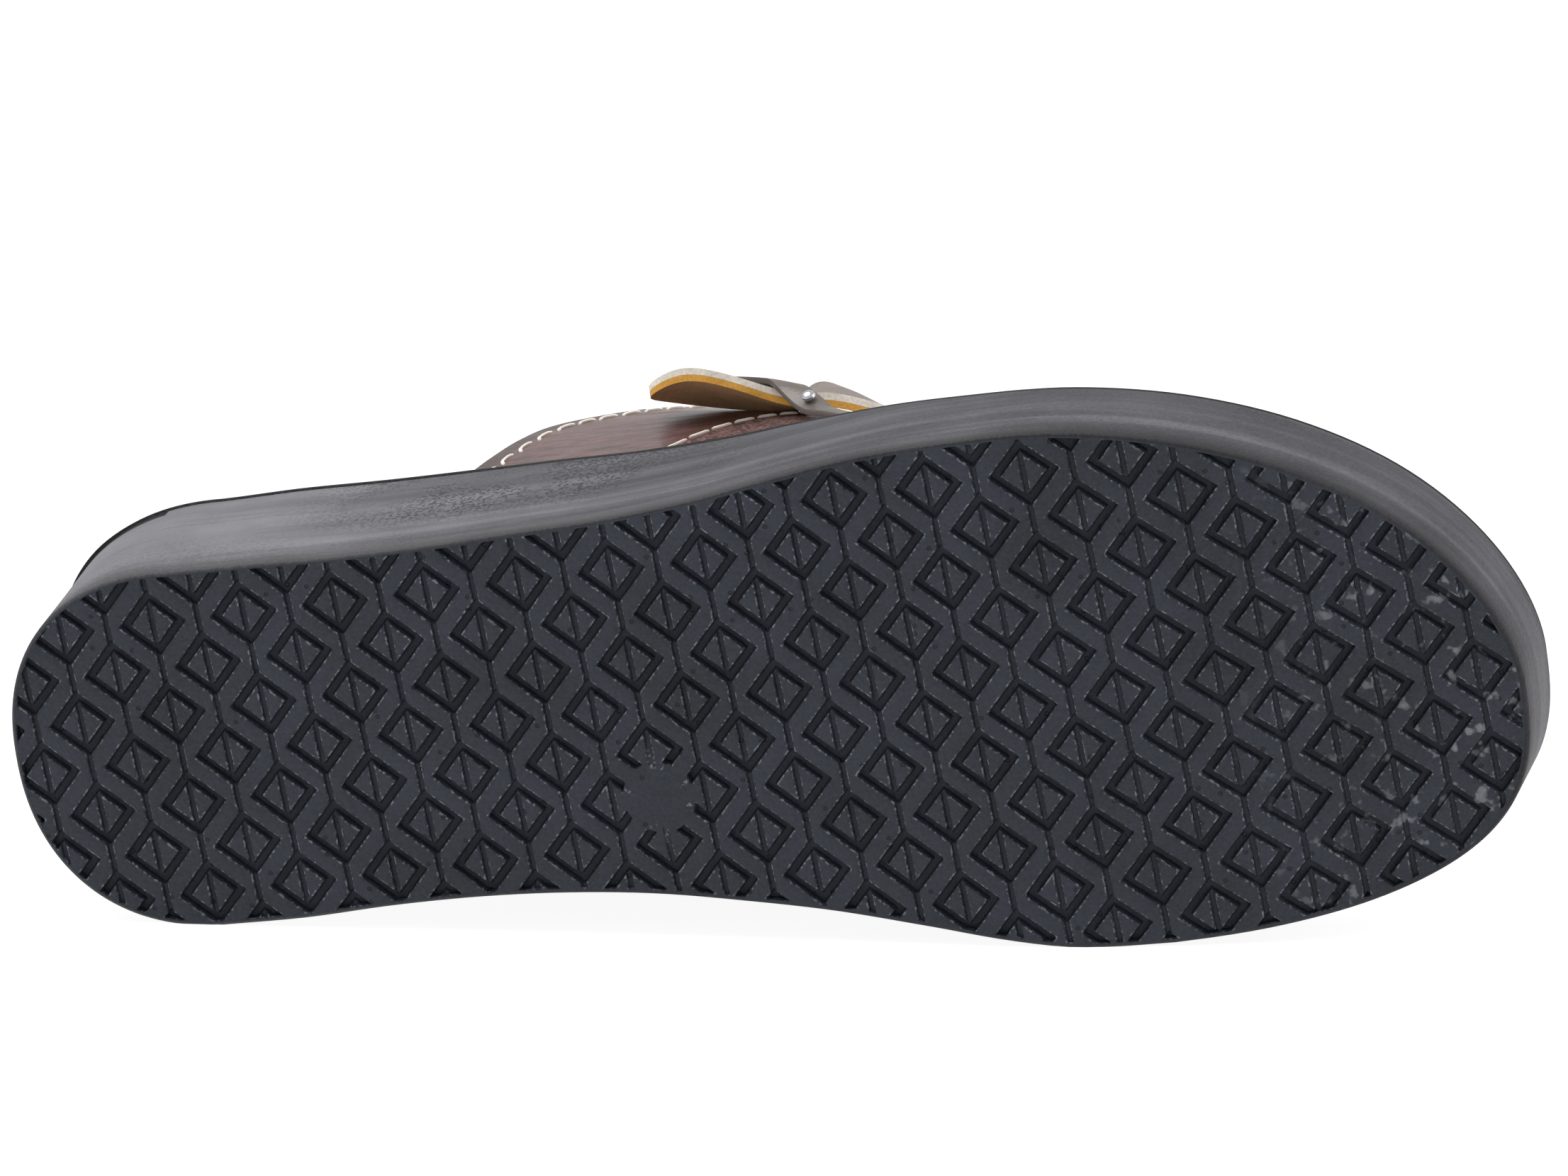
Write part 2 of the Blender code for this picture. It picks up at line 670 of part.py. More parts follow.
def resting_face(pieces, centre):
    """Outward normal of the hull's face on the inner side that carries the shoe."""
    hull = bmesh.new()
    for piece in pieces:
        bm = world_mesh(piece)
        for vert in bm.verts:
            hull.verts.new(vert.co)
        bm.free()
    bmesh.ops.convex_hull(hull, input=hull.verts)
    best = None
    for face in hull.faces:
        if len(face.verts) != 3 or face.normal.y < SIDE_LEAN:
            continue
        corners = [v.co for v in face.verts]
        foot = centre - face.normal * (centre - corners[0]).dot(face.normal)
        sides = zip(corners, corners[1:] + corners[:1])
        turns = [(b - a).cross(foot - a).dot(face.normal) for a, b in sides]
        if min(turns) > 0 and (best is None or face.calc_area() > best[1]):
            best = (face.normal.copy(), face.calc_area())
    hull.free()
    return best[0]


def lay_on_side(pieces):
    """Parents the pieces to an empty that lays the shoe on its inner side, toe to +X."""
    bpy.context.view_layer.update()
    up = -resting_face(pieces, centre_of_mass(pieces))
    forward = (Vector((1, 0, 0)) - up * up.x).normalized()
    turn = Matrix((forward, up.cross(forward), up)).to_4x4()
    corners = []
    for piece in pieces:
        bm = world_mesh(piece)
        corners += [turn @ v.co for v in bm.verts]
        bm.free()
    low = [min(c[i] for c in corners) for i in range(3)]
    high = [max(c[i] for c in corners) for i in range(3)]
    shift = Vector((-(low[0] + high[0]) / 2, -(low[1] + high[1]) / 2, -low[2]))
    pose = bpy.data.objects.new("lying_pose", None)
    bpy.data.collections["leather_flip_flop"].objects.link(pose)
    pose.matrix_world = Matrix.Translation(shift) @ turn
    for piece in pieces:
        piece.parent = pose


def main():
    for old in list(bpy.data.objects):
        bpy.data.objects.remove(old, do_unlink=True)
    shoe = bpy.data.collections.new("leather_flip_flop")
    bpy.context.scene.collection.children.link(shoe)
    sole = make_sole()
    insole = make_insole()
    upper = make_upper()
    post = make_toe_post()
    under = make_leaf("bow_leaf_under", LEAF_SEAT)
    top = make_leaf("bow_leaf_top", LEAF_SEAT + LEAF_THICKNESS + GAP)
    band = make_band()
    stud = make_stud()
    lay_on_side([sole, insole, upper, post, under, top, band, stud])


main()
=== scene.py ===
"""Looks of a leather flip-flop for the right foot, which lies on its inner side.

The pieces are worked out in millimetres in the shoe's own frame: X runs from the back of the heel
to the toe, Y towards the inner side and Z up from the ground under the sole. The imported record's
mount on the tread says how that frame lies in the row frame, and each piece ends up there.
"""

import json
import math
from bisect import bisect_right
from collections import namedtuple
from functools import partial

import bmesh
import bpy
import numpy as np
from bpy.props import FloatProperty, FloatVectorProperty, PointerProperty
from mathutils import Euler, Matrix, Vector


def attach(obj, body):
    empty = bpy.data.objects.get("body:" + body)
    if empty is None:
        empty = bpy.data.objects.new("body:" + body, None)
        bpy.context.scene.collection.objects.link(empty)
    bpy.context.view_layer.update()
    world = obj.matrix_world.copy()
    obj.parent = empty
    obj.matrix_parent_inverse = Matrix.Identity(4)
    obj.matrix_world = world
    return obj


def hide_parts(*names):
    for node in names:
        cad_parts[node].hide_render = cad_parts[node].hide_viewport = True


bl_info = {
    "name": "Leather flip-flop looks",
    "version": (1, 0, 0),
    "blender": (4, 5, 0),
    "location": "3D View > Sidebar > Flip-flop",
    "description": "Builds the visible pieces of a leather flip-flop around its packed solids",
    "category": "Object",
}

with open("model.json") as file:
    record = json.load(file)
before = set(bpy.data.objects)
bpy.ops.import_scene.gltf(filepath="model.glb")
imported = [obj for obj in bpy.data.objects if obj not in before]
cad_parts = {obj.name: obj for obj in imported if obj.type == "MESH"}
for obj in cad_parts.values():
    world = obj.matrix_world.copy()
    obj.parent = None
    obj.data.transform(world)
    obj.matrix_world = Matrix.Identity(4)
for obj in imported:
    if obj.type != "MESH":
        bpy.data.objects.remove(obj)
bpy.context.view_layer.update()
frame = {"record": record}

MM = 0.001
GAP = 0.3                    # clearance between pieces that touch on the real shoe

# Sole outline on the ground
SOLE_LENGTH = 250.0
HEEL_RADIUS = 30.3
HEEL_BACK = 0.5              # the worn heel bulges back by this
HEEL_POWER = 2.24            # roundness of the heel
HEEL_HALF = {-1: 30.3, 1: 31.8}      # half width of the heel, outer and inner side
TOE_TIP_Y = 10.0             # the tip lies towards the big toe
TOE_POWER = {-1: 1.8, 1: 2.8}    # roundness of the toe, outer and inner quarter
TOE_START = {-1: 175.0, 1: 190.0}    # where each side turns into its toe quarter
HEEL_STEPS = 70
SIDE_STEPS = 56
TOE_STEPS = 44

SideRow = namedtuple("SideRow", "x outer inner")
SIDES = [SideRow(*row) for row in (
    (30.3, -30.3, 31.8),
    (45.0, -30.8, 31.3),
    (60.0, -31.2, 30.0),
    (75.0, -32.1, 29.3),
    (90.0, -33.4, 29.4),
    (105.0, -34.7, 30.4),
    (120.0, -36.9, 32.5),
    (135.0, -40.0, 35.1),
    (150.0, -42.8, 38.6),
    (163.0, -44.1, 41.8),
    (175.0, -44.5, 44.1),
    (190.0, -43.4, 45.0),
)]

# Wedge, toe spring, how far the wall flares out at the top on each side, the worn ground edge,
# and how far the lip stands proud of the wall
WedgeRow = namedtuple("WedgeRow", "x thickness spring outer_flare inner_flare foot_round proud")
WEDGE = [WedgeRow(*row) for row in (
    (0.0, 35.0, 0.0, 1.0, 1.0, 0.5, 0.5),
    (7.0, 35.4, 0.0, 0.4, 1.6, 0.5, 0.6),
    (15.0, 36.0, 0.0, -0.1, 2.3, 0.5, 0.4),
    (30.0, 37.2, 0.0, -0.4, 2.6, 0.5, 0.3),
    (45.0, 37.9, 0.0, -0.1, 3.4, 0.5, 0.3),
    (72.0, 38.0, 0.0, 0.0, 7.0, 0.5, 0.25),
    (95.0, 36.2, 0.0, 0.0, 8.5, 0.5, 0.15),
    (116.0, 33.4, 0.0, 0.0, 6.5, 0.5, 0.2),
    (132.0, 30.4, 0.0, 0.0, 4.0, 0.5, 0.1),
    (150.0, 26.6, 0.0, 0.0, 1.5, 0.5, 0.0),
    (167.0, 24.6, 0.2, 0.0, 0.3, 0.5, 0.0),
    (183.0, 23.4, 2.2, 0.0, 0.0, 0.5, 0.0),
    (200.0, 23.2, 5.8, 0.0, 0.0, 0.5, 0.0),
    (216.0, 22.4, 10.6, 0.0, 0.2, 0.6, 0.0),
    (232.0, 21.4, 15.6, -0.1, 0.4, 0.7, 0.0),
    (250.0, 20.0, 19.5, -0.2, -0.2, 0.8, 0.0),
)]

# The wall of the sole, from the ground up
NOMINAL_HEIGHT = 30.0
FOOT_HEIGHT = 2.0            # the wall's height from here up to the lip follows the wedge
FOOT_RINGS = 4
WALL_FROM = 3.0
WALL_RINGS = 16
LIP_HEIGHT = 1.3
FLARE_POWER = 1.2            # the wall stands steep at the ground and leans out higher up
LipRow = namedtuple("LipRow", "drop inset proud")
LIP = [LipRow(*row) for row in (
    (1.22, 0.0, 0.35),
    (1.1, 0.0, 0.9),
    (0.85, 0.0, 1.0),
    (0.4, 0.05, 1.0),
    (0.12, 0.3, 0.9),
    (0.0, 0.9, 0.7),
)]
DEEP_LIP = 20.5              # the dark lip is deeper round the heel, behind this station
TOP_INSET = 4.0
TOP_STATION = 4.0            # distance between the cross cuts that let the top bend

# Diamond tread: square cells on edge, a ring groove round a square lug in each
TREAD_DIAGONAL = 15.85
TREAD_CENTRE = (162.7, -5.3)
TREAD_TURN = math.radians(-3.2)
TREAD_RIM = 0.25
GROOVE_END = 0.2             # slope where a groove stops at the rim
TREAD_BAR = 2.87
GROOVE_WIDTH = 1.0
GROOVE_DRAFT = 0.3
GROOVE_LIP = 0.25            # worn edge of a groove
LIP_SHARE = 0.1              # share of the groove's depth at its worn edge
LINE_DEPTH = 0.55            # depth of a slot or link against a ring groove's
LINE_HALF = (0.36, 0.54, 0.74)    # floor, worn edge and land of a slot or link
PAD_CELL = (-3.5, 1.0)       # the bare pad's place on the lattice
PAD_IN_SHOE = (103.0, 10.5, 0.0)    # the record's mount on it
PAD_RADIUS = 6.0
PAD_FADE = 0.35
PAD_CUTS = 1.4               # faces are cut up to this far past the pad
PAD_SIDES = 20
CUT_REACH = 0.001
RIM_ZONE, TREAD_ZONE = 1.0, 2.0      # what a face of the ground belongs to

# Insole
INSOLE_INSET = 5.8
INSOLE_THICKNESS = 2.6
INSOLE_ROUND = 0.8
INSOLE_RINGS = 4
INSOLE_STATION = 3.0

# Upper: one leather wall over the instep, between a back edge and a front edge
LEATHER = 2.4
INNER_FULLNESS = 2.7         # how square the inner half of a section is
INNER_BULGE = 9.5            # the slack inner arm bows out
BULGE_AT = 0.36              # share of the section's height where the bow is greatest
UPPER_COLUMNS = 230
UPPER_ROWS = 60
SEAM_ROW = 0.6               # share of the rows that lie behind the seam
SEAM_STEP = 0.2              # the smooth leather overlaps the pebbled leather
SEAM_EDGE = 0.5
UPPER_ROUND = 0.5
RIM_SEGMENTS = 3
FOLD_RATE = 30.0             # how fast folds and seam set in from the strap's feet
SPREAD = 1.35                # evens out the points up the steep sides
NORMAL_STEP_X = 0.5          # steps along and round the strap that give its normal
NORMAL_STEP_SHARE = 0.004

InstepRow = namedtuple("InstepRow", "x height ridge fullness margin")
INSTEP = [InstepRow(*row) for row in (
    (68.0, 72.0, -1.0, 2.45, 2.0),
    (85.0, 69.5, 0.0, 2.45, 2.0),
    (105.0, 64.0, 1.5, 2.35, 2.0),
    (130.0, 53.0, 4.0, 2.05, 3.0),
    (150.0, 44.0, 6.5, 1.7, 6.5),
    (175.0, 34.0, 10.0, 1.6, 9.0),
    (200.0, 25.0, 13.0, 1.6, 10.0),
    (208.0, 22.0, 13.5, 1.6, 10.0),
)]
StrapRow = namedtuple("StrapRow", "share back seam front")
OUTER_ARM = [StrapRow(*row) for row in (
    (0.0, 70.9, 105.0, 113.0),
    (0.04, 72.0, 107.8, 125.0),
    (0.08, 73.7, 111.2, 138.0),
    (0.12, 75.8, 115.8, 151.0),
    (0.16, 79.5, 122.6, 162.0),
    (0.20, 88.5, 132.5, 171.0),
    (0.28, 104.5, 154.0, 183.0),
    (0.38, 121.0, 176.0, 194.5),
)]
STRAP_RIDGE = StrapRow(0.50, 130.0, 188.0, 203.0)
INNER_ARM = [row._replace(share=1.0 - row.share) for row in OUTER_ARM[::-1]]
STRAP = OUTER_ARM + [STRAP_RIDGE] + INNER_ARM

# Soft folds in the strap: place and length along the shoe, depth and half width
CreaseRow = namedtuple("CreaseRow", "share x length depth width slope")
CREASES = [CreaseRow(*row) for row in (
    (0.045, 96.0, 34.0, 0.06, 0.012, 0.0004),
    (0.085, 100.0, 30.0, 0.10, 0.016, 0.0006),
    (0.125, 108.0, 30.0, 0.08, 0.016, 0.0008),
    (0.33, 150.0, 40.0, 0.16, 0.020, -0.0012),
    (0.66, 148.0, 44.0, 0.18, 0.020, 0.0012),
    (0.84, 106.0, 42.0, 0.20, 0.018, 0.0010),
    (0.91, 98.0, 36.0, 0.16, 0.014, -0.0006),
)]

# Stitches: a row inside the back edge and a row along the seam
STITCH_MARGIN = {"back": 3.5, "seam": 0.7}
STITCH_BOW = {"back": 1.0, "seam": 0.5}    # how far a stitch bows inwards
STITCH_SIDES = 6
StitchRow = namedtuple("StitchRow", "along inward up")
STITCH = [StitchRow(*row) for row in (
    (0.10, 1.15, -0.30),
    (0.11, 1.05, 0.05),
    (0.16, 0.70, 0.14),
    (0.26, 0.34, 0.17),
    (0.43, 0.08, 0.18),
    (0.60, 0.0, 0.18),
    (0.73, 0.08, 0.15),
    (0.81, 0.20, 0.05),
    (0.83, 0.24, -0.30),
)]
RUN_STEPS = 900
LEAST_SLANT = 0.2            # keeps a margin finite where an edge runs along the shoe
CLIMB_SHARE = 0.5            # the sewing feeds faster where a row climbs
UNDER_BOW = (0.17, 0.232)    # shares of the seam that the bow covers, where no stitch shows
SeamPoint = namedtuple("SeamPoint", "spot normal share")

# Toe post under the tip of the strap
POST_X = 195.5
POST_LENGTH = 10.0
POST_WIDTH = 5.6
POST_SIDES = 48
POST_RINGS = 20
POST_WAIST = 0.1             # how much the thong narrows half way up

# Bow on the outer arm: two leaves of leather, drawn in at the waist by a band
BOW_X = 126.0
BOW_SHARE = 0.19
MM_PER_SHARE = 190.0         # length up the strap's face for one share, near the bow
LEAF_THICKNESS = 1.2
LEAF_WAIST = 5.0
LEAF_COLUMNS = 130
LEAF_ROWS = 34
LEAF_SEAT = -0.1             # the leaves press into the soft strap
LEAF_SKIVED = 0.75           # share of a leaf's thickness that is left at its tips
LEAF_TIP = 0.9995            # share of a petal's length where its blunt tip is cut
PetalRow = namedtuple("PetalRow", "length half_width turn lift far_lift")
PETALS = {-1: PetalRow(28.1, 11.5, 20.0, 9.7, 0.0), 1: PetalRow(16.2, 8.0, 45.0, 0.5, 3.2)}
WAIST_LIFT = 1.3             # the gathered waist lifts its lower edge
SWELL_FROM = 0.12            # shares of a petal's length where its width grows
SWELL_OVER = 0.5
TIP_POWER = 2.6
NARROWEST_TIP = 0.001
CREST_TURN = 0.6 * math.pi   # a petal lifts most a little before its tip
TURN_RATE = 1.5              # how fast the back petal's turn becomes the front one's

BAND_TURN = math.radians(148.0)
BAND_START = (-1.5, -6.4)    # the band crosses the waist behind and below its middle
BAND_WIDTH = {-1: 4.4, 0: 5.2, 1: 7.5}    # at the lower end, over the waist, at the upper end
BAND_THICKNESS = 1.0
BAND_REACH = {-1: 18.5, 1: 22.0}    # to its lower end and to its upper end
BAND_TIP_POWER = 12.0        # how late the band narrows to its round ends
BAND_TIP = 0.3               # share of its width that is left there
BAND_COLUMNS = 90
BAND_ROWS = 24
BAND_FALL_FROM = 2.7         # half widths of the leaf where the band has come down to the strap
BAND_FALL_OVER = 1.65
BAND_OVER_STRAP = 0.75       # clearance under the band
BAND_OVER_LEAVES = 0.45
TURN_ROUNDS = 3              # rounds that find a point's place along the turned leaf
BAND_CROWN = 0.25
BAND_ROUND = 0.3
LEAF_JOINT = 0.02            # the two leaves are glued: what is left between them
STUD_RADIUS = 1.2
STUD_FLAT = 0.6              # height of the dome against its radius
STUD_REACH = -0.35           # along the band, from its middle to an end
STUD_HALF = 0.0              # across the band
STUD_STEP = 0.04
STUD_PROFILE = 10
STUD_TURNS = 32

# Camera at the photograph's angle, on a long lens
CAMERA_PLACE = (0.58259, -2.21642, 0.54529)
CAMERA_TURN = (77.8267, 1.7614, 14.4156)
CAMERA_LENS = 325.5
CAMERA_SENSOR = 36.0
CAMERA_CLIP = (0.01, 50.0)

# Floor, lights and shading
FLOOR_CELLS = 4
FLOOR_SIZE = 6.0
LampRow = namedtuple("LampRow", "size place aim")
LAMPS = {
    "key": LampRow(0.7, (-0.35, -0.1, 0.85), (0.0, 0.0, 0.05)),
    "side": LampRow(0.5, (0.75, 0.1, 0.5), (0.1, 0.0, 0.05)),
}
SMOOTH_ANGLE = math.radians(38.0)    # edges with a greater turn stay sharp


def hex_colour(text):
    """Linear RGBA of an sRGB hex colour."""
    channels = [int(text[i:i + 2], 16) / 255.0 for i in (1, 3, 5)]
    linear = [c / 12.92 if c <= 0.04045 else ((c + 0.055) / 1.055)**2.4 for c in channels]
    return (*linear, 1.0)


def millimetres(name, value, description):
    """A length that a user may change."""
    return FloatProperty(
        name=name, description=description, default=value * MM, min=0.0, unit="LENGTH", precision=5
    )


def colour(name, text, description):
    """A colour that a user may change."""
    return FloatVectorProperty(
        name=name, description=description, default=hex_colour(text), size=4, min=0.0, max=1.0,
        subtype="COLOR",
    )


class SoleSettings(bpy.types.PropertyGroup):
    """Sizes and colours of the moulded sole and its footbed."""

    groove_depth: millimetres("Groove depth", 1.3, "Depth of the tread's ring grooves")
    tread: colour("Tread", "#292d35", "Lugs and lands of the tread")
    # The groove colour is painted shade in the tread's grooves and pinholes
    groove: colour("Grooves", "#1b1f28", "Floor of the tread's grooves")
    # Worn rubber colour: rubbed patches with a painted sheen under the toe, and painted highlights along the
    # grooves
    wear_and_glint: colour("Worn rubber", "#66696d", "Rubbed patches under the toe and specks along the grooves")
    wall: colour("Wall", "#45454a", "Plain wall of the sole")
    # Paler tone on the wall towards the heel
    wash: colour("Wash", "#6f6f73", "Pale bloom on the wall at the heel")
    pore: colour("Pores", "#1d1e21", "Open pores in the wall")
    lip: colour("Lip", "#0d0e11", "Dark lip along the top of the wall")
    footbed: colour("Footbed", "#4a3129", "Leather of the footbed")


class StrapSettings(bpy.types.PropertyGroup):
    """Sizes and colours of the strap, its stitches and the thong."""

    stitch_pitch: millimetres("Stitch pitch", 3.5, "Distance from one stitch to the next")
    thread: millimetres("Thread", 0.5, "Thickness of the sewing thread")
    leather: colour("Leather", "#62403f", "Glossy face of the strap")
    # This colour is painted shade in the creases and streaks of the face, and the darker colour along the
    # hem, the cut edges and between the pebbles
    shade: colour("Shade", "#38211f", "Darker tone in the leather and along its edges")
    pebbled: colour("Pebbled leather", "#714d49", "Pebbled leather in front of the seam")
    lining: colour("Lining", "#5a4238", "Back of the leather")
    thread_colour: colour("Thread colour", "#e6dfd3", "Sewing thread")


class BowSettings(bpy.types.PropertyGroup):
    """Sizes and colours of the bow, its band and its stud."""

    face: colour("Bow leather", "#7b716b", "Smooth face of the upper leaf")
    pale: colour("Pale leather", "#f6efe2", "Cut edge of the upper leaf")
    tan: colour("Tan leather", "#e2a94e", "Cut edge of the lower leaf")
    # Suede: its colour is lightened beyond its own, as painted light against the shade under the back petal
    suede: colour("Suede", "#c6a17a", "Back of the lower leaf")
    band: colour("Band", "#665e59", "Leather band round the waist")
    metal: colour("Metal", "#d4d6dc", "Polished stud on the band")


class StageSettings(bpy.types.PropertyGroup):
    """Floor and light."""

    floor: colour("Floor", "#f8f8f8", "Plain pale floor")
    glow: FloatProperty(name="Glow", description="Light that the floor panel gives", default=0.97, min=0.0)
    key: FloatProperty(
        name="Key light", description="Light from above the heel", default=8.0, min=0.0, unit="POWER"
    )
    side: FloatProperty(
        name="Side light", description="Light from the toe", default=3.0, min=0.0, unit="POWER"
    )
    sky: FloatProperty(name="Sky", description="Even light from all round", default=0.6, min=0.0)


def column_curve(rows, key, column):
    """Smooth curve through a table's column, as a function of its key column."""
    xs = [getattr(row, key) for row in rows]
    ys = [getattr(row, column) for row in rows]
    slopes = []
    for i in range(len(xs)):
        a, b = max(i - 1, 0), min(i + 1, len(xs) - 1)
        slopes.append((ys[b] - ys[a]) / (xs[b] - xs[a]))

    def value(x):
        x = min(max(x, xs[0]), xs[-1])
        i = min(max(bisect_right(xs, x) - 1, 0), len(xs) - 2)
        span = xs[i + 1] - xs[i]
        t = (x - xs[i]) / span
        rise = (2 * t**3 - 3 * t**2 + 1) * ys[i] + (3 * t**2 - 2 * t**3) * ys[i + 1]
        bend = (t**3 - 2 * t**2 + t) * slopes[i] + (t**3 - t**2) * slopes[i + 1]
        return rise + span * bend

    return value


sides = {-1: column_curve(SIDES, "x", "outer"), 1: column_curve(SIDES, "x", "inner")}
thickness = column_curve(WEDGE, "x", "thickness")
spring = column_curve(WEDGE, "x", "spring")
foot_round = column_curve(WEDGE, "x", "foot_round")
lip_proud = column_curve(WEDGE, "x", "proud")
flares = {
    -1: column_curve(WEDGE, "x", "outer_flare"),
    1: column_curve(WEDGE, "x", "inner_flare"),
}
instep_height = column_curve(INSTEP, "x", "height")
instep_ridge = column_curve(INSTEP, "x", "ridge")
outer_fullness = column_curve(INSTEP, "x", "fullness")
strap_margin = column_curve(INSTEP, "x", "margin")
strap_back = column_curve(STRAP, "share", "back")
strap_seam = column_curve(STRAP, "share", "seam")
strap_front = column_curve(STRAP, "share", "front")


def smooth_step(t):
    """Eases from 0 to 1."""
    t = min(max(t, 0.0), 1.0)
    return t * t * (3.0 - 2.0 * t)


def lying_pose():
    """How the shoe's frame lies in the row frame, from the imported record's mount on the tread."""
    mount = frame["record"]["mounts"][0]
    pad_in_shoe = Vector(PAD_IN_SHOE) * MM
    up = -Vector(mount["axis"]).normalized()
    forward = Vector((up.z, 0.0, -up.x)).normalized()
    turn = Matrix((forward, up.cross(forward), up)).transposed()
    return Matrix.Translation(Vector(mount["pos_m"]) - turn @ pad_in_shoe) @ turn.to_4x4()


LYING = lying_pose()


def sole_top(x):
    """Height of the sole's upper face above the ground."""
    return spring(x) + thickness(x)


def toe_quarter(side):
    """Points from one side's widest place round to the tip of the toe."""
    start = TOE_START[side]
    widest = sides[side](start)
    power = 2.0 / TOE_POWER[side]
    points = []
    for k in range(TOE_STEPS + 1):
        angle = 0.5 * math.pi * k / TOE_STEPS
        x = start + (SOLE_LENGTH - start) * math.sin(angle)**power
        y = TOE_TIP_Y + (widest - TOE_TIP_Y) * math.cos(angle)**power
        points.append(Vector((x, y)))
    return points


def sole_outline():
    """Closed outline of the ground face: heel arc, inner side, toe, outer side."""
    points = []
    for k in range(HEEL_STEPS + 1):
        angle = math.pi * k / HEEL_STEPS
        half = HEEL_HALF[-1 if math.cos(angle) > 0 else 1]
        x = HEEL_RADIUS - (HEEL_RADIUS + HEEL_BACK) * math.sin(angle)**(2.0 / HEEL_POWER)
        y = -half * math.copysign(abs(math.cos(angle))**(2.0 / HEEL_POWER), math.cos(angle))
        points.append(Vector((x, y)))
    for x in np.linspace(HEEL_RADIUS, TOE_START[1], SIDE_STEPS + 1)[1:-1]:
        points.append(Vector((x, sides[1](x))))
    points += toe_quarter(1)
    points += toe_quarter(-1)[-2::-1]
    for x in np.linspace(TOE_START[-1], HEEL_RADIUS, SIDE_STEPS + 1)[1:-1]:
        points.append(Vector((x, sides[-1](x))))
    return points


OUTLINE = sole_outline()


def flare_at(point, share):
    """How far the wall stands out over the ground outline at a share of its height."""
    side = -1 if point.y < TOE_TIP_Y * max(0.0, point.x) / SOLE_LENGTH else 1
    return flares[side](point.x) * share**FLARE_POWER


def outline_spot(index, inset, share, rise):
    """A point over the outline: moved inwards by inset less the flare, and raised by rise(x)."""
    along = (OUTLINE[(index + 1) % len(OUTLINE)] - OUTLINE[index - 1]).normalized()
    inwards = Vector((along.y, -along.x))
    spot = OUTLINE[index] + (inset - flare_at(OUTLINE[index], share)) * inwards
    return Vector((spot.x, spot.y, rise(spot.x)))


def outline_face(bm, spot):
    """A flat face with one corner for each outline point, which each corner remembers."""
    place = bm.verts.layers.int.new("place")
    made = bmesh.ops.create_circle(bm, cap_ends=True, segments=len(OUTLINE), radius=1.0)
    for index, vert in enumerate(made["verts"]):
        vert[place] = index
        vert.co = spot(index)
    return place, bm.edges[:]


def next_ring(bm, edges, place, spot):
    """Extrudes a loop of edges to the next ring and returns that ring's edges and new faces."""
    made = bmesh.ops.extrude_edge_only(bm, edges=edges)["geom"]
    for item in made:
        if isinstance(item, bmesh.types.BMVert):
            item.co = spot(item[place])
    ring = [item for item in made if isinstance(item, bmesh.types.BMEdge)]
    faces = [item for item in made if isinstance(item, bmesh.types.BMFace)]
    return ring, faces


def parts_of(faces):
    """Faces with their edges and corners, as the cutting operator takes them."""
    return faces + list({e for f in faces for e in f.edges}) + list({v for f in faces for v in f.verts})


def cut_stations(bm, face, station):
    """Cuts a long face at regular stations along the shoe, so that it can bend."""
    geometry = parts_of([face])
    for x in np.arange(station, SOLE_LENGTH, station):
        cut = bmesh.ops.bisect_plane(
            bm, geom=geometry, dist=CUT_REACH, plane_co=(x, 0, 0), plane_no=(1, 0, 0)
        )
        geometry = cut["geom"]


def on_lattice(x, y):
    """A ground point in the tread's lattice: steps across the two families of grooves."""
    ahead, side = x - TREAD_CENTRE[0], y - TREAD_CENTRE[1]
    steps = []
    for quarter in (0.25, -0.25):
        angle = TREAD_TURN + quarter * math.pi
        steps.append(ahead * math.cos(angle) + side * math.sin(angle))
    return steps


PITCH = TREAD_DIAGONAL / math.sqrt(2)
COLUMN = 0.5 * TREAD_DIAGONAL
RING_OUTER = 0.5 * (PITCH - TREAD_BAR)
RING_INNER = RING_OUTER - GROOVE_WIDTH - 2.0 * GROOVE_DRAFT
RING_LEVELS = (
    RING_INNER - GROOVE_LIP,
    RING_INNER,
    RING_INNER + GROOVE_DRAFT,
    RING_OUTER - GROOVE_DRAFT,
    RING_OUTER,
    RING_OUTER + GROOVE_LIP,
)
RING_SHARES = (0.0, LIP_SHARE, 1.0, 1.0, LIP_SHARE, 0.0)
LINE_SHARES = (LINE_DEPTH, LIP_SHARE, 0.0)


def groove_share(x, y):
    """Depth of the tread at a ground point, as a share of the ring groove's depth."""
    p, q = on_lattice(x, y)
    along, across = (p + q) / math.sqrt(2), (p - q) / math.sqrt(2)
    cell = max(abs(p - PITCH * round(p / PITCH)), abs(q - PITCH * round(q / PITCH)))
    ring = np.interp(cell, RING_LEVELS, RING_SHARES)
    line = np.interp(abs(along - COLUMN * round(along / COLUMN)), LINE_HALF, LINE_SHARES)
    to_pad = math.hypot(along - PAD_CELL[0] * TREAD_DIAGONAL, across - PAD_CELL[1] * TREAD_DIAGONAL)
    return max(ring, line) * smooth_step((to_pad - PAD_RADIUS) / PAD_FADE)


def cut_tread(bm, faces):
    """Cuts the ground face along every edge of the tread's grooves and round the bare pad."""
    centre = Vector((*TREAD_CENTRE, 0.0))
    families = (
        (TREAD_TURN + 0.25 * math.pi, PITCH, RING_LEVELS),
        (TREAD_TURN - 0.25 * math.pi, PITCH, RING_LEVELS),
        (TREAD_TURN, COLUMN, LINE_HALF),
    )
    geometry = parts_of(faces)
    corners = [v.co.copy() for v in geometry if isinstance(v, bmesh.types.BMVert)]
    for angle, pitch, levels in families:
        normal = Vector((math.cos(angle), math.sin(angle), 0.0))
        reach = [normal.dot(corner - centre) for corner in corners]
        for k in range(math.floor(min(reach) / pitch), math.ceil(max(reach) / pitch) + 1):
            for level in levels:
                for offset in (k * pitch - level, k * pitch + level):
                    if min(reach) < offset < max(reach):
                        spot = centre + normal * offset
                        geometry = bmesh.ops.bisect_plane(
                            bm, geom=geometry, dist=CUT_REACH, plane_co=spot, plane_no=normal
                        )["geom"]
    round_pad(bm, [f for f in geometry if isinstance(f, bmesh.types.BMFace)])


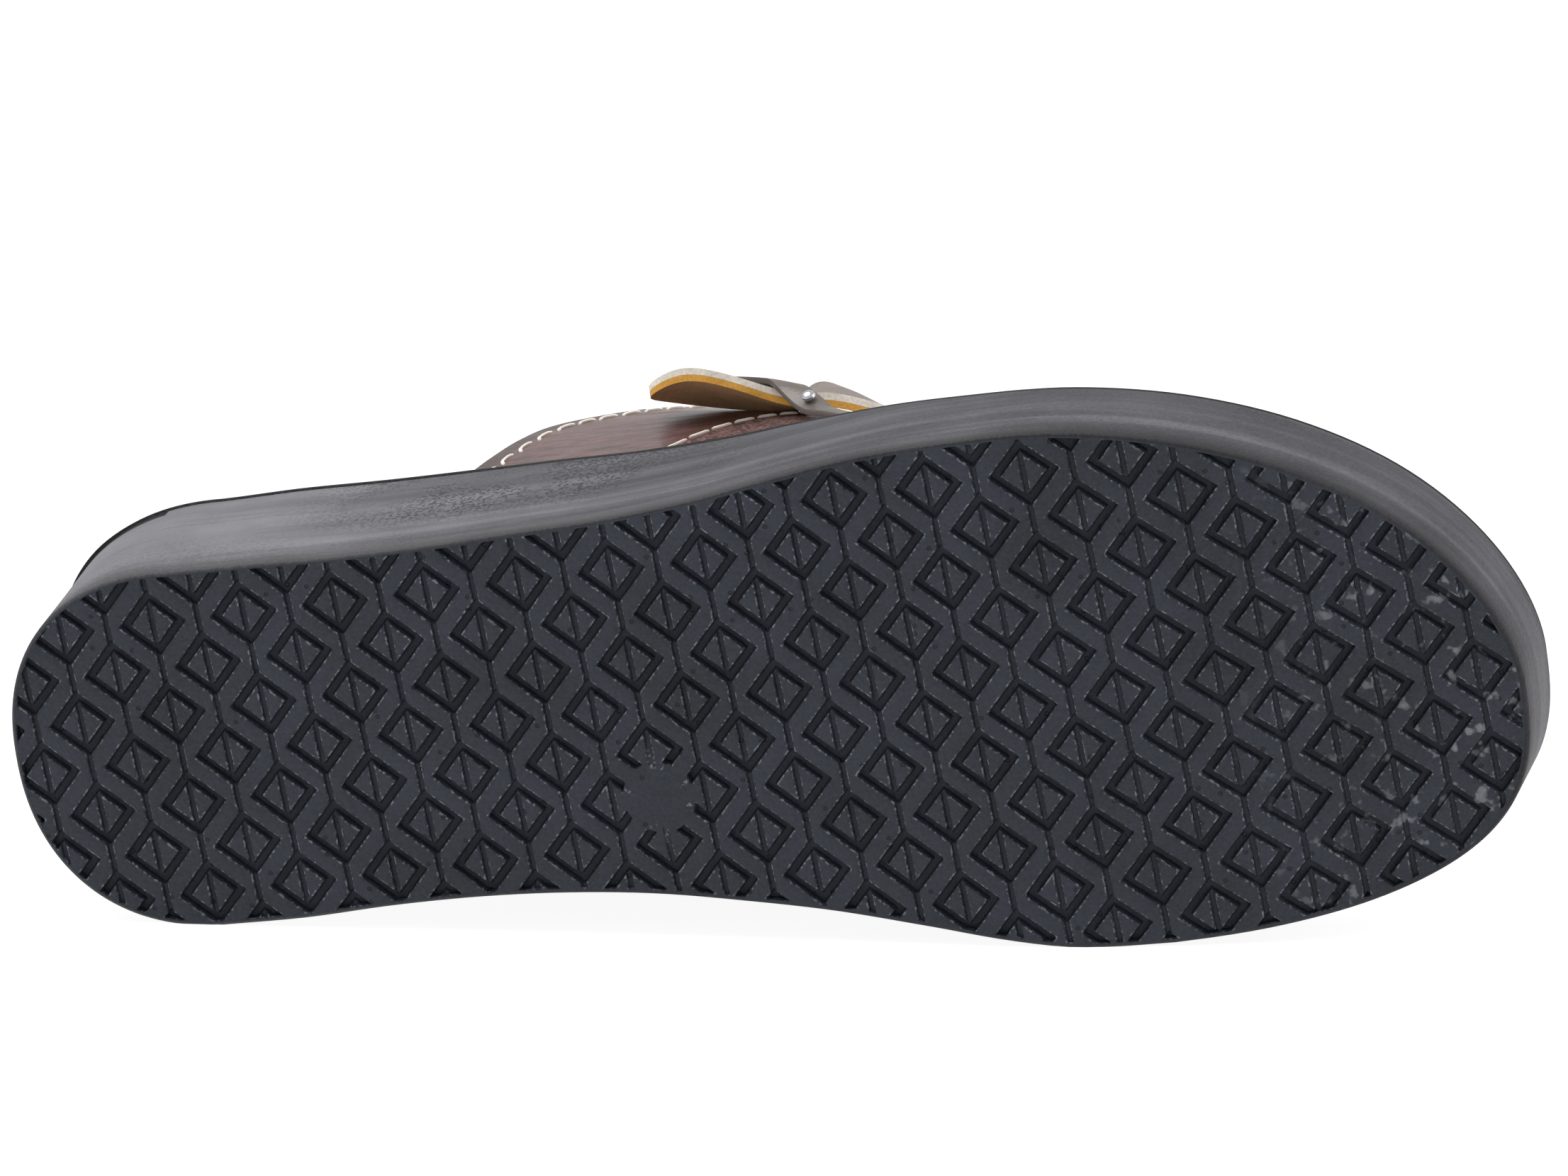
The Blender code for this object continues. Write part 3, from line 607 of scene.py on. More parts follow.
def pad_middle():
    """Middle of the bare pad on the ground."""
    ahead, side = (cells * TREAD_DIAGONAL for cells in PAD_CELL)
    turn = Matrix.Rotation(TREAD_TURN, 3, "Z")
    return turn @ Vector((ahead, side, 0.0)) + Vector((*TREAD_CENTRE, 0.0))


def round_pad(bm, faces):
    """Cuts the faces round the pad along its round edge."""
    middle = pad_middle()
    reach = PAD_RADIUS + PAD_CUTS
    near = [f for f in faces if (f.calc_center_median().xy - middle.xy).length < reach]
    geometry = parts_of(near)
    for radius in (PAD_RADIUS, PAD_RADIUS + PAD_FADE):
        for k in range(PAD_SIDES):
            angle = 2.0 * math.pi * k / PAD_SIDES
            normal = Vector((math.cos(angle), math.sin(angle), 0.0))
            geometry = bmesh.ops.bisect_plane(
                bm, geom=geometry, dist=CUT_REACH, plane_co=middle + normal * radius, plane_no=normal
            )["geom"]


def wall_rise(nominal):
    """Height of a wall ring above the ground as a function of the station."""
    heights = (0.0, FOOT_HEIGHT, NOMINAL_HEIGHT - LIP_HEIGHT, NOMINAL_HEIGHT)

    def rise(x):
        tall = thickness(x)
        return spring(x) + np.interp(nominal, heights, (0.0, FOOT_HEIGHT, tall - LIP_HEIGHT, tall))

    return rise


def outline_run():
    """Each outline point on a circle as long as the outline, for patterns that run round the wall."""
    lengths = [0.0]
    for here, there in zip(OUTLINE, OUTLINE[1:] + OUTLINE[:1]):
        lengths.append(lengths[-1] + (there - here).length)
    radius = lengths[-1] / (2.0 * math.pi)
    return [(radius * math.cos(run / radius), radius * math.sin(run / radius)) for run in lengths]


def build_sole(settings):
    """Moulded sole: tread, rounded ground edge, plain wall, lip and top."""
    bm = bmesh.new()
    ground_layer = bm.faces.layers.float.new("ground")
    lip_layer = bm.faces.layers.float.new("lip")
    groove_layer = bm.verts.layers.float.new("groove")
    run_layer = bm.verts.layers.float_vector.new("run")

    def ground_spot(extra, rise):
        return lambda i: outline_spot(i, foot_round(OUTLINE[i].x) + extra, 0.0, rise)

    # Until the grooves are sunk, a tread point's height says how much of their end slope is left
    place, ring = outline_face(bm, ground_spot(TREAD_RIM + GROOVE_END, lambda x: 0.0))
    tread = bm.faces[:]
    ring, ends = next_ring(bm, ring, place, ground_spot(TREAD_RIM, lambda x: 1.0))
    tread += ends
    ring, rim = next_ring(bm, ring, place, ground_spot(0.0, spring))
    for k in range(1, FOOT_RINGS + 1):
        angle = 0.5 * math.pi * k / FOOT_RINGS

        def foot_spot(i, angle=angle):
            radius = foot_round(OUTLINE[i].x)
            inset = radius * (1.0 - math.sin(angle))
            return outline_spot(i, inset, 0.0, lambda x: spring(x) + radius * (1.0 - math.cos(angle)))

        ring, _ = next_ring(bm, ring, place, foot_spot)
    for nominal in np.linspace(WALL_FROM, NOMINAL_HEIGHT - LIP_HEIGHT, WALL_RINGS).tolist():
        share, rise = nominal / NOMINAL_HEIGHT, wall_rise(nominal)
        ring, faces = next_ring(bm, ring, place, lambda i: outline_spot(i, 0.0, share, rise))
    dark = [face for face in faces if face.calc_center_median().x < DEEP_LIP]
    for row in LIP:

        def lip_spot(i, row=row):
            inset = row.inset - row.proud * lip_proud(OUTLINE[i].x)
            return outline_spot(i, inset, 1.0, lambda x: sole_top(x) - row.drop)

        ring, faces = next_ring(bm, ring, place, lip_spot)
        dark += faces
    ring, faces = next_ring(bm, ring, place, lambda i: outline_spot(i, TOP_INSET, 1.0, sole_top))
    top = bmesh.ops.edgeloop_fill(bm, edges=ring)["faces"][0]
    for face in dark + faces + [top]:
        face[lip_layer] = 1.0
    for zone, faces in ((RIM_ZONE, rim), (TREAD_ZONE, tread)):
        for face in faces:
            face[ground_layer] = zone
    circle = outline_run()
    for vert in bm.verts:
        vert[run_layer] = (*circle[vert[place]], vert.co.z - spring(vert.co.x))
    cut_stations(bm, top, TOP_STATION)
    cut_tread(bm, tread)
    depth = settings.groove_depth / MM
    for vert in {v for f in bm.faces if f[ground_layer] == TREAD_ZONE for v in f.verts}:
        share = (1.0 - vert.co.z) * groove_share(vert.co.x, vert.co.y)
        vert[groove_layer] = share
        vert.co.z = spring(vert.co.x) + depth * share
    return bm


def build_insole():
    """Footbed cover with a rounded edge, bent to the wedge."""
    bm = bmesh.new()

    def spot(inset, height):
        return lambda i: outline_spot(i, INSOLE_INSET + inset, 1.0, lambda x: sole_top(x) + GAP + height)

    place, ring = outline_face(bm, spot(0.0, 0.0))
    under = bm.faces[:][0]
    for k in range(INSOLE_RINGS + 1):
        angle = 0.5 * math.pi * k / INSOLE_RINGS
        inset = INSOLE_ROUND * (1.0 - math.cos(angle))
        height = INSOLE_THICKNESS - INSOLE_ROUND * (1.0 - math.sin(angle))
        ring, _ = next_ring(bm, ring, place, spot(inset, height))
    top = bmesh.ops.edgeloop_fill(bm, edges=ring)["faces"][0]
    cut_stations(bm, under, INSOLE_STATION)
    cut_stations(bm, top, INSOLE_STATION)
    return bm


def side_edge(x, side):
    """Edge of the sole at a station on one side; past the widest place it follows the toe."""
    start, power = TOE_START[side], TOE_POWER[side]
    if x <= start:
        return sides[side](x)
    share = min(1.0, (x - start) / (SOLE_LENGTH - start))
    return TOE_TIP_Y + (sides[side](start) - TOE_TIP_Y) * (1.0 - share**power)**(1.0 / power)


def last_point(x, share):
    """Point on the inside of the strap: share 0 is the outer foot, 1 the inner foot."""
    ridge = instep_ridge(x)
    inset = strap_margin(x) + LEATHER
    half = min(share, 1.0 - share) * 2.0
    angle = 0.5 * math.pi * half**SPREAD
    power = 2.0 / (outer_fullness(x) if share <= 0.5 else INNER_FULLNESS)
    across = math.cos(angle)**power
    rise = math.sin(angle)**power
    if share <= 0.5:
        foot = side_edge(x, -1) + inset
        y = ridge + (foot - ridge) * across
    else:
        foot = side_edge(x, 1) + flares[1](x) - inset
        bow = math.sin(math.pi * rise / (2.0 * BULGE_AT)) if rise < 2.0 * BULGE_AT else 0.0
        y = ridge + (foot - ridge) * across + INNER_BULGE * bow
    return Vector((x, y, sole_top(x) + 2.0 * GAP + instep_height(x) * rise))


def last_normal(x, share):
    """Outward normal of the strap's surface."""
    low, high = max(0.0, share - NORMAL_STEP_SHARE), min(1.0, share + NORMAL_STEP_SHARE)
    forward = last_point(x + NORMAL_STEP_X, share) - last_point(x - NORMAL_STEP_X, share)
    sideways = last_point(x, high) - last_point(x, low)
    return forward.cross(sideways).normalized()


def crease_at(x, share):
    """How far the leather sinks into its soft folds."""
    depth = 0.0
    for row in CREASES:
        along = (x - row.x) / row.length
        if abs(along) < 1.0:
            across = (share - row.share - row.slope * (x - row.x)) / row.width
            depth += row.depth * math.cos(0.5 * math.pi * along)**2 * math.exp(-across * across)
    return depth


def strap_skin(x, share, level=1.0):
    """Point of the strap: level 0 is its lining and 1 its face, with the folds and the seam's step."""
    outward = last_normal(x, share)
    ends = smooth_step(share * FOLD_RATE) * smooth_step((1.0 - share) * FOLD_RATE)
    sunk = crease_at(x, share) + SEAM_STEP * smooth_step((x - strap_seam(share)) / SEAM_EDGE)
    spot = last_point(x, share) + outward * level * (LEATHER - sunk * ends)
    if level > 0.0:
        spot.z = max(spot.z, sole_top(spot.x) + 2.0 * GAP)
    return spot


def thick_sheet(columns, rows, spot):
    """Closed sheet from a grid: spot(across, along, level) is its back at level 0, its face at 1."""
    bm = bmesh.new()
    sheet = bm.verts.layers.float_vector.new("sheet")
    bmesh.ops.create_grid(bm, x_segments=columns, y_segments=rows, size=1.0)
    for vert in bm.verts:
        vert[sheet] = (0.5 + 0.5 * vert.co.x, 0.5 + 0.5 * vert.co.y, 0.0)
    raised = bmesh.ops.extrude_face_region(bm, geom=bm.faces[:], use_keep_orig=True)["geom"]
    for item in raised:
        if isinstance(item, bmesh.types.BMVert):
            item[sheet] = (item[sheet][0], item[sheet][1], 1.0)
    cut_layer = bm.faces.layers.float.new("cut_edge")
    back_layer = bm.faces.layers.float.new("back")
    for face in bm.faces:
        levels = {vert[sheet][2] for vert in face.verts}
        face[cut_layer] = float(len(levels) > 1)
        face[back_layer] = float(levels == {0.0})
    for vert in bm.verts:
        vert.co = spot(*vert[sheet])
    bmesh.ops.recalc_face_normals(bm, faces=bm.faces)
    return bm


def round_rim(bm, width):
    """Rounds the long edges between a sheet's face, back and cut edge."""
    cut_layer = bm.faces.layers.float["cut_edge"]
    rim = [e for e in bm.edges if len({f[cut_layer] for f in e.link_faces}) > 1]
    bmesh.ops.bevel(
        bm, geom=rim, offset=width, offset_type="OFFSET", segments=RIM_SEGMENTS, profile=0.5,
        affect="EDGES", clamp_overlap=True, material=-1,
    )


def strap_station(share, across):
    """Station of a point across the strap, with rows close together at its edges and its seam."""
    back, seam, front = strap_back(share), strap_seam(share), strap_front(share)
    if across <= SEAM_ROW:
        return back + (seam - back) * 0.5 * (1.0 - math.cos(math.pi * across / SEAM_ROW))
    return seam + (front - seam) * 0.5 * (1.0 - math.cos(math.pi * (across - SEAM_ROW) / (1.0 - SEAM_ROW)))


def build_upper():
    """Strap: a leather wall between its back edge and its front edge."""
    def spot(share, across, level):
        return strap_skin(strap_station(share, across), share, level)

    bm = thick_sheet(UPPER_COLUMNS, UPPER_ROWS, spot)
    sheet = bm.verts.layers.float_vector["sheet"]
    ahead_layer = bm.verts.layers.float.new("ahead_of_seam")
    back_layer = bm.verts.layers.float.new("from_back")
    for vert in bm.verts:
        share, across, _ = vert[sheet]
        x = strap_station(share, across)
        vert[ahead_layer] = (x - strap_seam(share)) * slant(share, strap_seam)
        vert[back_layer] = (x - strap_back(share)) * slant(share, strap_back)
    round_rim(bm, UPPER_ROUND)
    return bm


def slant(share, edge):
    """Distance square to a strap edge for one millimetre along the shoe."""
    step = NORMAL_STEP_SHARE
    low, high = max(0.0, share - step), min(1.0, share + step)
    run = last_point(edge(high), high) - last_point(edge(low), low)
    ahead = last_point(edge(share) + NORMAL_STEP_X, share) - last_point(edge(share) - NORMAL_STEP_X, share)
    run.normalize()
    square = ahead - run * ahead.dot(run)
    return square.length / (2.0 * NORMAL_STEP_X)


def stitch_shape(thread, pitch):
    """One stitch along +X with its inward side on +Y, as a mesh that is copied along the rows."""
    bm = bmesh.new()
    path = [Vector((row.along * pitch, row.inward, row.up)) for row in STITCH]
    made = bmesh.ops.create_circle(bm, cap_ends=True, segments=STITCH_SIDES, radius=0.5 * thread)
    start = path[1] - path[0]
    turn = start.to_track_quat("Z", "Y").to_matrix().to_4x4()
    bmesh.ops.transform(bm, matrix=Matrix.Translation(path[0]) @ turn, verts=made["verts"])
    ring, before = bm.edges[:], turn
    for i, place in enumerate(path[1:], 1):
        step = path[min(i + 1, len(path) - 1)] - path[i - 1]
        turn = step.to_track_quat("Z", "Y").to_matrix().to_4x4()
        grown = bmesh.ops.extrude_edge_only(bm, edges=ring)["geom"]
        verts = [v for v in grown if isinstance(v, bmesh.types.BMVert)]
        move = Matrix.Translation(place) @ turn @ before.inverted() @ Matrix.Translation(-path[i - 1])
        bmesh.ops.transform(bm, matrix=move, verts=verts)
        ring, before = [e for e in grown if isinstance(e, bmesh.types.BMEdge)], turn
    bmesh.ops.edgeloop_fill(bm, edges=ring)
    mesh = bpy.data.meshes.new("stitch_shape")
    bm.to_mesh(mesh)
    bm.free()
    return mesh


def stitch_line(edge, margin, inward):
    """Points of a row of stitches: a margin inside a strap edge, on the strap's face."""
    points = []
    for share in np.linspace(0.0, 1.0, RUN_STEPS).tolist():
        x = edge(share) + inward * margin / max(LEAST_SLANT, slant(share, edge))
        points.append(SeamPoint(strap_skin(x, share), last_normal(x, share), share))
    return points


def build_stitches(settings):
    """Rows of stitches along the strap's back edge and its seam."""
    pitch = settings.stitch_pitch / MM
    shape = stitch_shape(settings.thread / MM, pitch)
    bm = bmesh.new()
    for edge, name, inward in ((strap_back, "back", 1.0), (strap_seam, "seam", -1.0)):
        run = stitch_line(edge, STITCH_MARGIN[name], inward)
        lengths = [0.0]
        for here, there in zip(run, run[1:]):
            step = there.spot - here.spot
            step.z *= CLIMB_SHARE
            lengths.append(lengths[-1] + step.length)
        count = int(lengths[-1] / pitch)
        for k in range(count):
            low = bisect_right(lengths, k * pitch) - 1
            high = min(bisect_right(lengths, (k + 1) * pitch), len(run) - 1)
            if name == "seam" and UNDER_BOW[0] < run[low].share < UNDER_BOW[1]:
                continue
            stretch = (run[high].spot - run[low].spot).length / pitch
            sew(bm, shape, run[low], run[high], inward, (stretch, STITCH_BOW[name], 1.0, 1.0))
    bpy.data.meshes.remove(shape)
    return bm


def sew(bm, shape, start, end, inward, sizes):
    """Sets one stitch, drawn out to its sizes, between two points of its row."""
    along = (end.spot - start.spot).normalized()
    outward = (start.normal + end.normal).normalized()
    across = outward.cross(along).normalized()
    if across.x * inward < 0.0:
        across.negate()
    turn = Matrix((along, across, outward)).transposed().to_4x4()
    first = len(bm.verts)
    bm.from_mesh(shape)
    bm.verts.ensure_lookup_table()
    move = Matrix.Translation(start.spot) @ turn @ Matrix.Diagonal(sizes)
    bmesh.ops.transform(bm, matrix=move, verts=bm.verts[first:])


def build_toe_post():
    """Thong between the toes, a little slimmer half way up."""
    bm = bmesh.new()
    middle = Vector((POST_X, instep_ridge(POST_X), 0.0))
    angle_layer = bm.verts.layers.float.new("turn")
    made = bmesh.ops.create_circle(bm, cap_ends=True, segments=POST_SIDES, radius=1.0)
    for vert in made["verts"]:
        vert[angle_layer] = math.atan2(vert.co.y, vert.co.x)
    ring = bm.edges[:]

    def spot(angle, climb):
        slim = 1.0 - POST_WAIST * math.sin(math.pi * climb)
        cap = 0.5 * (POST_LENGTH - POST_WIDTH)
        x = middle.x + slim * (math.copysign(cap, math.cos(angle)) + 0.5 * POST_WIDTH * math.cos(angle))
        y = middle.y + slim * 0.5 * POST_WIDTH * math.sin(angle)
        low = sole_top(x) + INSOLE_THICKNESS + 2.0 * GAP
        high = last_point(x, 0.5).z - 2.0 * GAP
        return Vector((x, y, low + climb * (high - low)))

    for vert in made["verts"]:
        vert.co = spot(vert[angle_layer], 0.0)
    for k in range(1, POST_RINGS + 1):
        grown = bmesh.ops.extrude_edge_only(bm, edges=ring)["geom"]
        for item in grown:
            if isinstance(item, bmesh.types.BMVert):
                item.co = spot(item[angle_layer], k / POST_RINGS)
        ring = [e for e in grown if isinstance(e, bmesh.types.BMEdge)]
    bmesh.ops.edgeloop_fill(bm, edges=ring)
    return bm


def strap_face(ahead, up):
    """Point on the strap's outer face near the bow, and the face's outward normal."""
    x = BOW_X + ahead
    share = BOW_SHARE + up / MM_PER_SHARE
    outward = last_normal(x, share)
    return last_point(x, share) + outward * LEATHER, outward


def tip_share(u):
    """How much of a petal's width its round tip leaves."""
    return math.sqrt(max(NARROWEST_TIP, 1.0 - abs(u)**TIP_POWER))


def petal_width(u):
    """Half width of a leaf: narrow at the waist, wide on the petals, round at the tips."""
    swell = smooth_step((abs(u) - SWELL_FROM) / SWELL_OVER)
    return (LEAF_WAIST + (PETALS[-1 if u < 0 else 1].half_width - LEAF_WAIST) * swell) * tip_share(u)


def leaf_rise(u, v):
    """How far a leaf stands off the strap: its lower edge lifts most."""
    petal = PETALS[-1 if u < 0 else 1]
    crest = math.sin(CREST_TURN * min(1.0, abs(u)))**2
    near = 0.5 * (1.0 - v * tip_share(u))
    far_crest = math.sin(math.pi * min(1.0, abs(u)))
    lift = WAIST_LIFT + (petal.lift - WAIST_LIFT) * crest
    return near * lift + (1.0 - near) * petal.far_lift * far_crest


def turned(a, c, angle):
    """Turns a step along and across a piece into a step ahead and up on the strap."""
    return a * math.cos(angle) - c * math.sin(angle), a * math.sin(angle) + c * math.cos(angle)


def bow_turn(u):
    """Turn of the bow up the arm: the front petal is turned more than the back one."""
    back, front = PETALS[-1].turn, PETALS[1].turn
    return math.radians(back + (front - back) * smooth_step(0.5 + TURN_RATE * u))


def build_leaf(seat):
    """One leather leaf of the bow at its seat over the strap."""
    def spot(across, along, level):
        u = LEAF_TIP * math.sin(0.5 * math.pi * (2.0 * across - 1.0))
        v = 2.0 * along - 1.0
        length = PETALS[-1 if u < 0 else 1].length
        face, outward = strap_face(*turned(u * length, v * petal_width(u), bow_turn(u)))
        skived = LEAF_SKIVED + (1.0 - LEAF_SKIVED) * tip_share(u)
        return face + outward * (skived * (seat + LEAF_THICKNESS * level) + leaf_rise(u, v))

    return thick_sheet(LEAF_COLUMNS, LEAF_ROWS, spot)


def band_height(ahead, up):
    """Height of the band's underside over the strap: it climbs over the leaves' waist."""
    u = 0.0
    for _ in range(TURN_ROUNDS):
        a, c = turned(ahead, up, -bow_turn(u))
        u = a / PETALS[-1 if a < 0 else 1].length
    v = c / petal_width(u)
    cover = smooth_step((BAND_FALL_FROM - abs(v)) / BAND_FALL_OVER)
    leaves_level = LEAF_SEAT + 2.0 * LEAF_THICKNESS + BAND_OVER_LEAVES
    leaves_level += leaf_rise(u, min(max(v, -1.0), 1.0))
    return BAND_OVER_STRAP + (leaves_level - BAND_OVER_STRAP) * cover


def band_point(reach, half, level):
    """Point of the band: reach runs from its lower end to its upper end, half across it."""
    end = -1 if reach < 0 else 1
    width = BAND_WIDTH[end] + (BAND_WIDTH[0] - BAND_WIDTH[end]) * smooth_step(1.0 - abs(reach))
    width *= max(BAND_TIP, math.sqrt(max(0.0, 1.0 - abs(reach)**BAND_TIP_POWER)))
    ahead, up = turned(reach * BAND_REACH[end], half * width, BAND_TURN)
    ahead += BAND_START[0]
    up += BAND_START[1]
    face, outward = strap_face(ahead, up)
    crown = BAND_CROWN * math.cos(math.pi * half)
    return face + outward * (band_height(ahead, up) + level * BAND_THICKNESS + level * crown)


def build_band():
    """Leather band over the bow's waist, crowned across and down to the strap at both ends."""
    def spot(along, across, level):
        return band_point(2.0 * along - 1.0, across - 0.5, level)

    bm = thick_sheet(BAND_COLUMNS, BAND_ROWS, spot)
    round_rim(bm, BAND_ROUND)
    return bm


def build_stud():
    """Polished dome on the band, turned from its half profile."""
    seat = band_point(STUD_REACH, STUD_HALF, 1.0)
    along = band_point(STUD_REACH + STUD_STEP, STUD_HALF, 1.0) - seat
    across = band_point(STUD_REACH, STUD_HALF + STUD_STEP, 1.0) - seat
    outward = along.cross(across).normalized()
    if outward.y > 0:
        outward.negate()
    bm = bmesh.new()
    profile = []
    for k in range(STUD_PROFILE + 1):
        angle = math.pi * (k / STUD_PROFILE - 0.5)
        height = STUD_FLAT * STUD_RADIUS * math.sin(angle)
        profile.append(bm.verts.new((STUD_RADIUS * math.cos(angle), 0.0, height)))
    line = [bm.edges.new(pair) for pair in zip(profile, profile[1:])]
    bmesh.ops.spin(
        bm, geom=profile + line, cent=(0, 0, 0), axis=(0, 0, 1), angle=2.0 * math.pi, steps=STUD_TURNS,
        use_merge=True,
    )
    bmesh.ops.remove_doubles(bm, verts=bm.verts, dist=CUT_REACH)
    turn = outward.to_track_quat("Z", "Y").to_matrix().to_4x4()
    middle = seat + outward * (0.5 * GAP + STUD_FLAT * STUD_RADIUS)
    bmesh.ops.transform(bm, matrix=Matrix.Translation(middle) @ turn, verts=bm.verts)
    return bm


def place_piece(name, bm, material, node=None):
    """Lays a finished piece in the row frame, gives it its material and its CAD solid's place."""
    bmesh.ops.recalc_face_normals(bm, faces=bm.faces)
    bmesh.ops.transform(bm, matrix=LYING @ Matrix.Scale(MM, 4), verts=bm.verts)
    for vert in bm.verts:
        vert.co.z = max(vert.co.z, 0.0)
    mesh = bpy.data.meshes.new(name)
    bm.to_mesh(mesh)
    bm.free()
    mesh.shade_smooth()
    mesh.set_sharp_from_angle(angle=SMOOTH_ANGLE)
    mesh.materials.append(material)
    piece = bpy.data.objects.new(name, mesh)
    bpy.context.scene.collection.objects.link(piece)
    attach(piece, "root")
    if node:
        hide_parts(node)


def add(tree, kind, inputs=None, out=0, **settings):
    """Adds a node and hands back one of its outputs; inputs holds values, or sockets to link from."""
    node = tree.nodes.new("ShaderNode" + kind)
    for name, value in settings.items():
        setattr(node, name, value)
    for key, value in (inputs or {}).items():
        if isinstance(value, bpy.types.NodeSocket):
            tree.links.new(value, node.inputs[key])
        else:
            node.inputs[key].default_value = value
    return node.outputs[out]


def new_material(name, **sockets):
    """A material with values on the shader's own sockets, and add for its nodes."""
    material = bpy.data.materials.new(name)
    material.use_nodes = True
    for key, value in sockets.items():
        material.node_tree.nodes["Principled BSDF"].inputs[key.replace("_", " ")].default_value = value
    return material, partial(add, material.node_tree)


def dress(material, links):
    """Links a material's patterns to its shader and hands the material back."""
    tree = material.node_tree
    for key, socket in links.items():
        tree.links.new(socket, tree.nodes["Principled BSDF"].inputs[key])
    return material


def per_metre(size_mm):
    """Texture scale for a pattern of that size."""
    return 1.0 / (size_mm * MM)


MIX_A, MIX_B = 6, 7          # colour sockets of the Mix node
COLOURS = {"out": 2, "data_type": "RGBA"}    # a Mix node for colours, and its colour output
SCALE_BY = 3                 # factor socket of the Vector Math node
EASED = {"interpolation_type": "SMOOTHSTEP"}


def moulded_rubber(settings):
    """Foamed rubber, moulded: charcoal lands with a low sheen, grooves darkened as painted shade, a pored
    wall paler at the heel and in painted shade near the ground.
    """
    material, node = new_material("moulded_rubber", IOR=1.5, Specular_IOR_Level=0.25)
    spot = node("TexCoord", out="Object")
    ground = node("Attribute", out="Fac", attribute_name="ground")
    groove = node("Attribute", out="Fac", attribute_name="groove")
    lip = node("Attribute", out="Fac", attribute_name="lip")
    run = node("Attribute", out="Vector", attribute_name="run")
    climb = node("SeparateXYZ", {"Vector": run}, "Z")
    ahead = node("SeparateXYZ", {"Vector": spot}, "X")
    grain = node("TexNoise", {"Vector": spot, "Scale": per_metre(0.65), "Detail": 4.0}, "Fac")
    cloud = node("TexNoise", {"Vector": spot, "Scale": per_metre(18.0), "Detail": 3.0}, "Fac")

    # Wall: streaks about 80 mm long and 4 mm high that follow it, and a paler wash towards the heel
    stretched = node("Mapping", {"Vector": run, "Scale": (0.05, 0.05, 1.0)})
    streak = node(
        "TexNoise", {"Vector": stretched, "Scale": 1.0 / 4.0, "Detail": 3.0, "Roughness": 0.5}, "Fac"
    )
    smear = node(
        "MapRange", {"Value": streak, "From Min": 0.35, "From Max": 0.65, "To Min": -0.32, "To Max": 0.4}
    )
    heel = node("MapRange", {"Value": ahead, "From Min": 0.02, "From Max": -0.11}, **EASED)
    wash = node("Math", {0: heel, 1: smear}, operation="ADD", use_clamp=True)
    wall = node("Mix", {0: wash, MIX_A: settings.wall, MIX_B: settings.wash}, **COLOURS)

    # Pores in patches, most of them towards the lip and beside the strap's foot
    pores = node("MapRange", {"Value": grain, "From Min": 0.47, "From Max": 0.55, "To Max": 0.8})
    for value, low, high, least in (
        (climb, 7.0, 19.0, 0.1),
        (cloud, 0.3, 0.52, 0.0),
        (ahead, 0.02, -0.03, 0.12),
        (ahead, -0.09, -0.055, 0.2),
    ):
        share = node(
            "MapRange", {"Value": value, "From Min": low, "From Max": high, "To Min": least}, **EASED
        )
        pores = node("Math", {0: pores, 1: share}, operation="MULTIPLY")
    pored = node("Mix", {0: pores, MIX_A: wall, MIX_B: settings.pore}, **COLOURS)
    # Painted shade: the wall darkens over its lowest 8 mm, towards the ground
    foot = node("MapRange", {"Value": climb, "From Min": -1.0, "From Max": 8.0, "To Min": 0.28}, **EASED)
    foot_shaded_wall = node("VectorMath", {0: pored, SCALE_BY: foot}, operation="SCALE")

    # Tread: pinholes about 0.7 mm wide that moulding left; they and the grooves take the darker groove
    # colour as painted shade
    on_ground = node("Math", {0: ground, 1: 1.0}, operation="MINIMUM")
    plane = node("CombineXYZ", {"X": ahead, "Y": ahead.node.outputs["Z"]})
    away = node(
        "TexVoronoi", {"Vector": plane, "Scale": per_metre(3.4)}, "Distance", voronoi_dimensions="2D"
    )
    chance = node("SeparateColor", {0: away.node.outputs["Color"]})
    chosen = node("Math", {0: chance, 1: 0.86}, operation="GREATER_THAN")
    hole = node("MapRange", {"Value": away, "From Min": 0.12, "From Max": 0.08}, **EASED)
    some = node("Math", {0: chosen, 1: hole}, operation="MULTIPLY")
    pinhole = node("Math", {0: some, 1: on_ground}, operation="MULTIPLY")
    sunk = node("Math", {0: groove, 1: pinhole}, operation="MAXIMUM")
    tread = node("Mix", {0: sunk, MIX_A: settings.tread, MIX_B: settings.groove}, **COLOURS)

    # Rubbed patches 3 mm wide under the toe, worn rubber with a painted sheen, and painted glints along the
    # grooves' worn edges
    toe = node("MapRange", {"Value": ahead, "From Min": 0.075, "From Max": 0.11}, **EASED)
    patch = node("TexNoise", {"Vector": spot, "Scale": per_metre(3.0), "Detail": 2.0}, "Fac")
    rubbed_and_sheen = node("MapRange", {"Value": patch, "From Min": 0.6, "From Max": 0.7}, **EASED)
    toe_ground = node("Math", {0: toe, 1: on_ground}, operation="MULTIPLY")
    patches = node("Math", {0: toe_ground, 1: rubbed_and_sheen}, operation="MULTIPLY")
    near_edge = node("Math", {0: groove, 1: 0.16, 2: 0.15}, operation="COMPARE")
    glint = node("MapRange", {"Value": grain, "From Min": 0.51, "From Max": 0.65, "To Max": 0.9})
    specks = node("Math", {0: near_edge, 1: glint}, operation="MULTIPLY")
    # Wear and painted highlights together, as one mask
    wear_and_glint = node("Math", {0: patches, 1: specks}, operation="MAXIMUM")
    tread_with_wear_and_glints = node("Mix", {0: wear_and_glint, MIX_A: tread, MIX_B: settings.wear_and_glint}, **COLOURS)

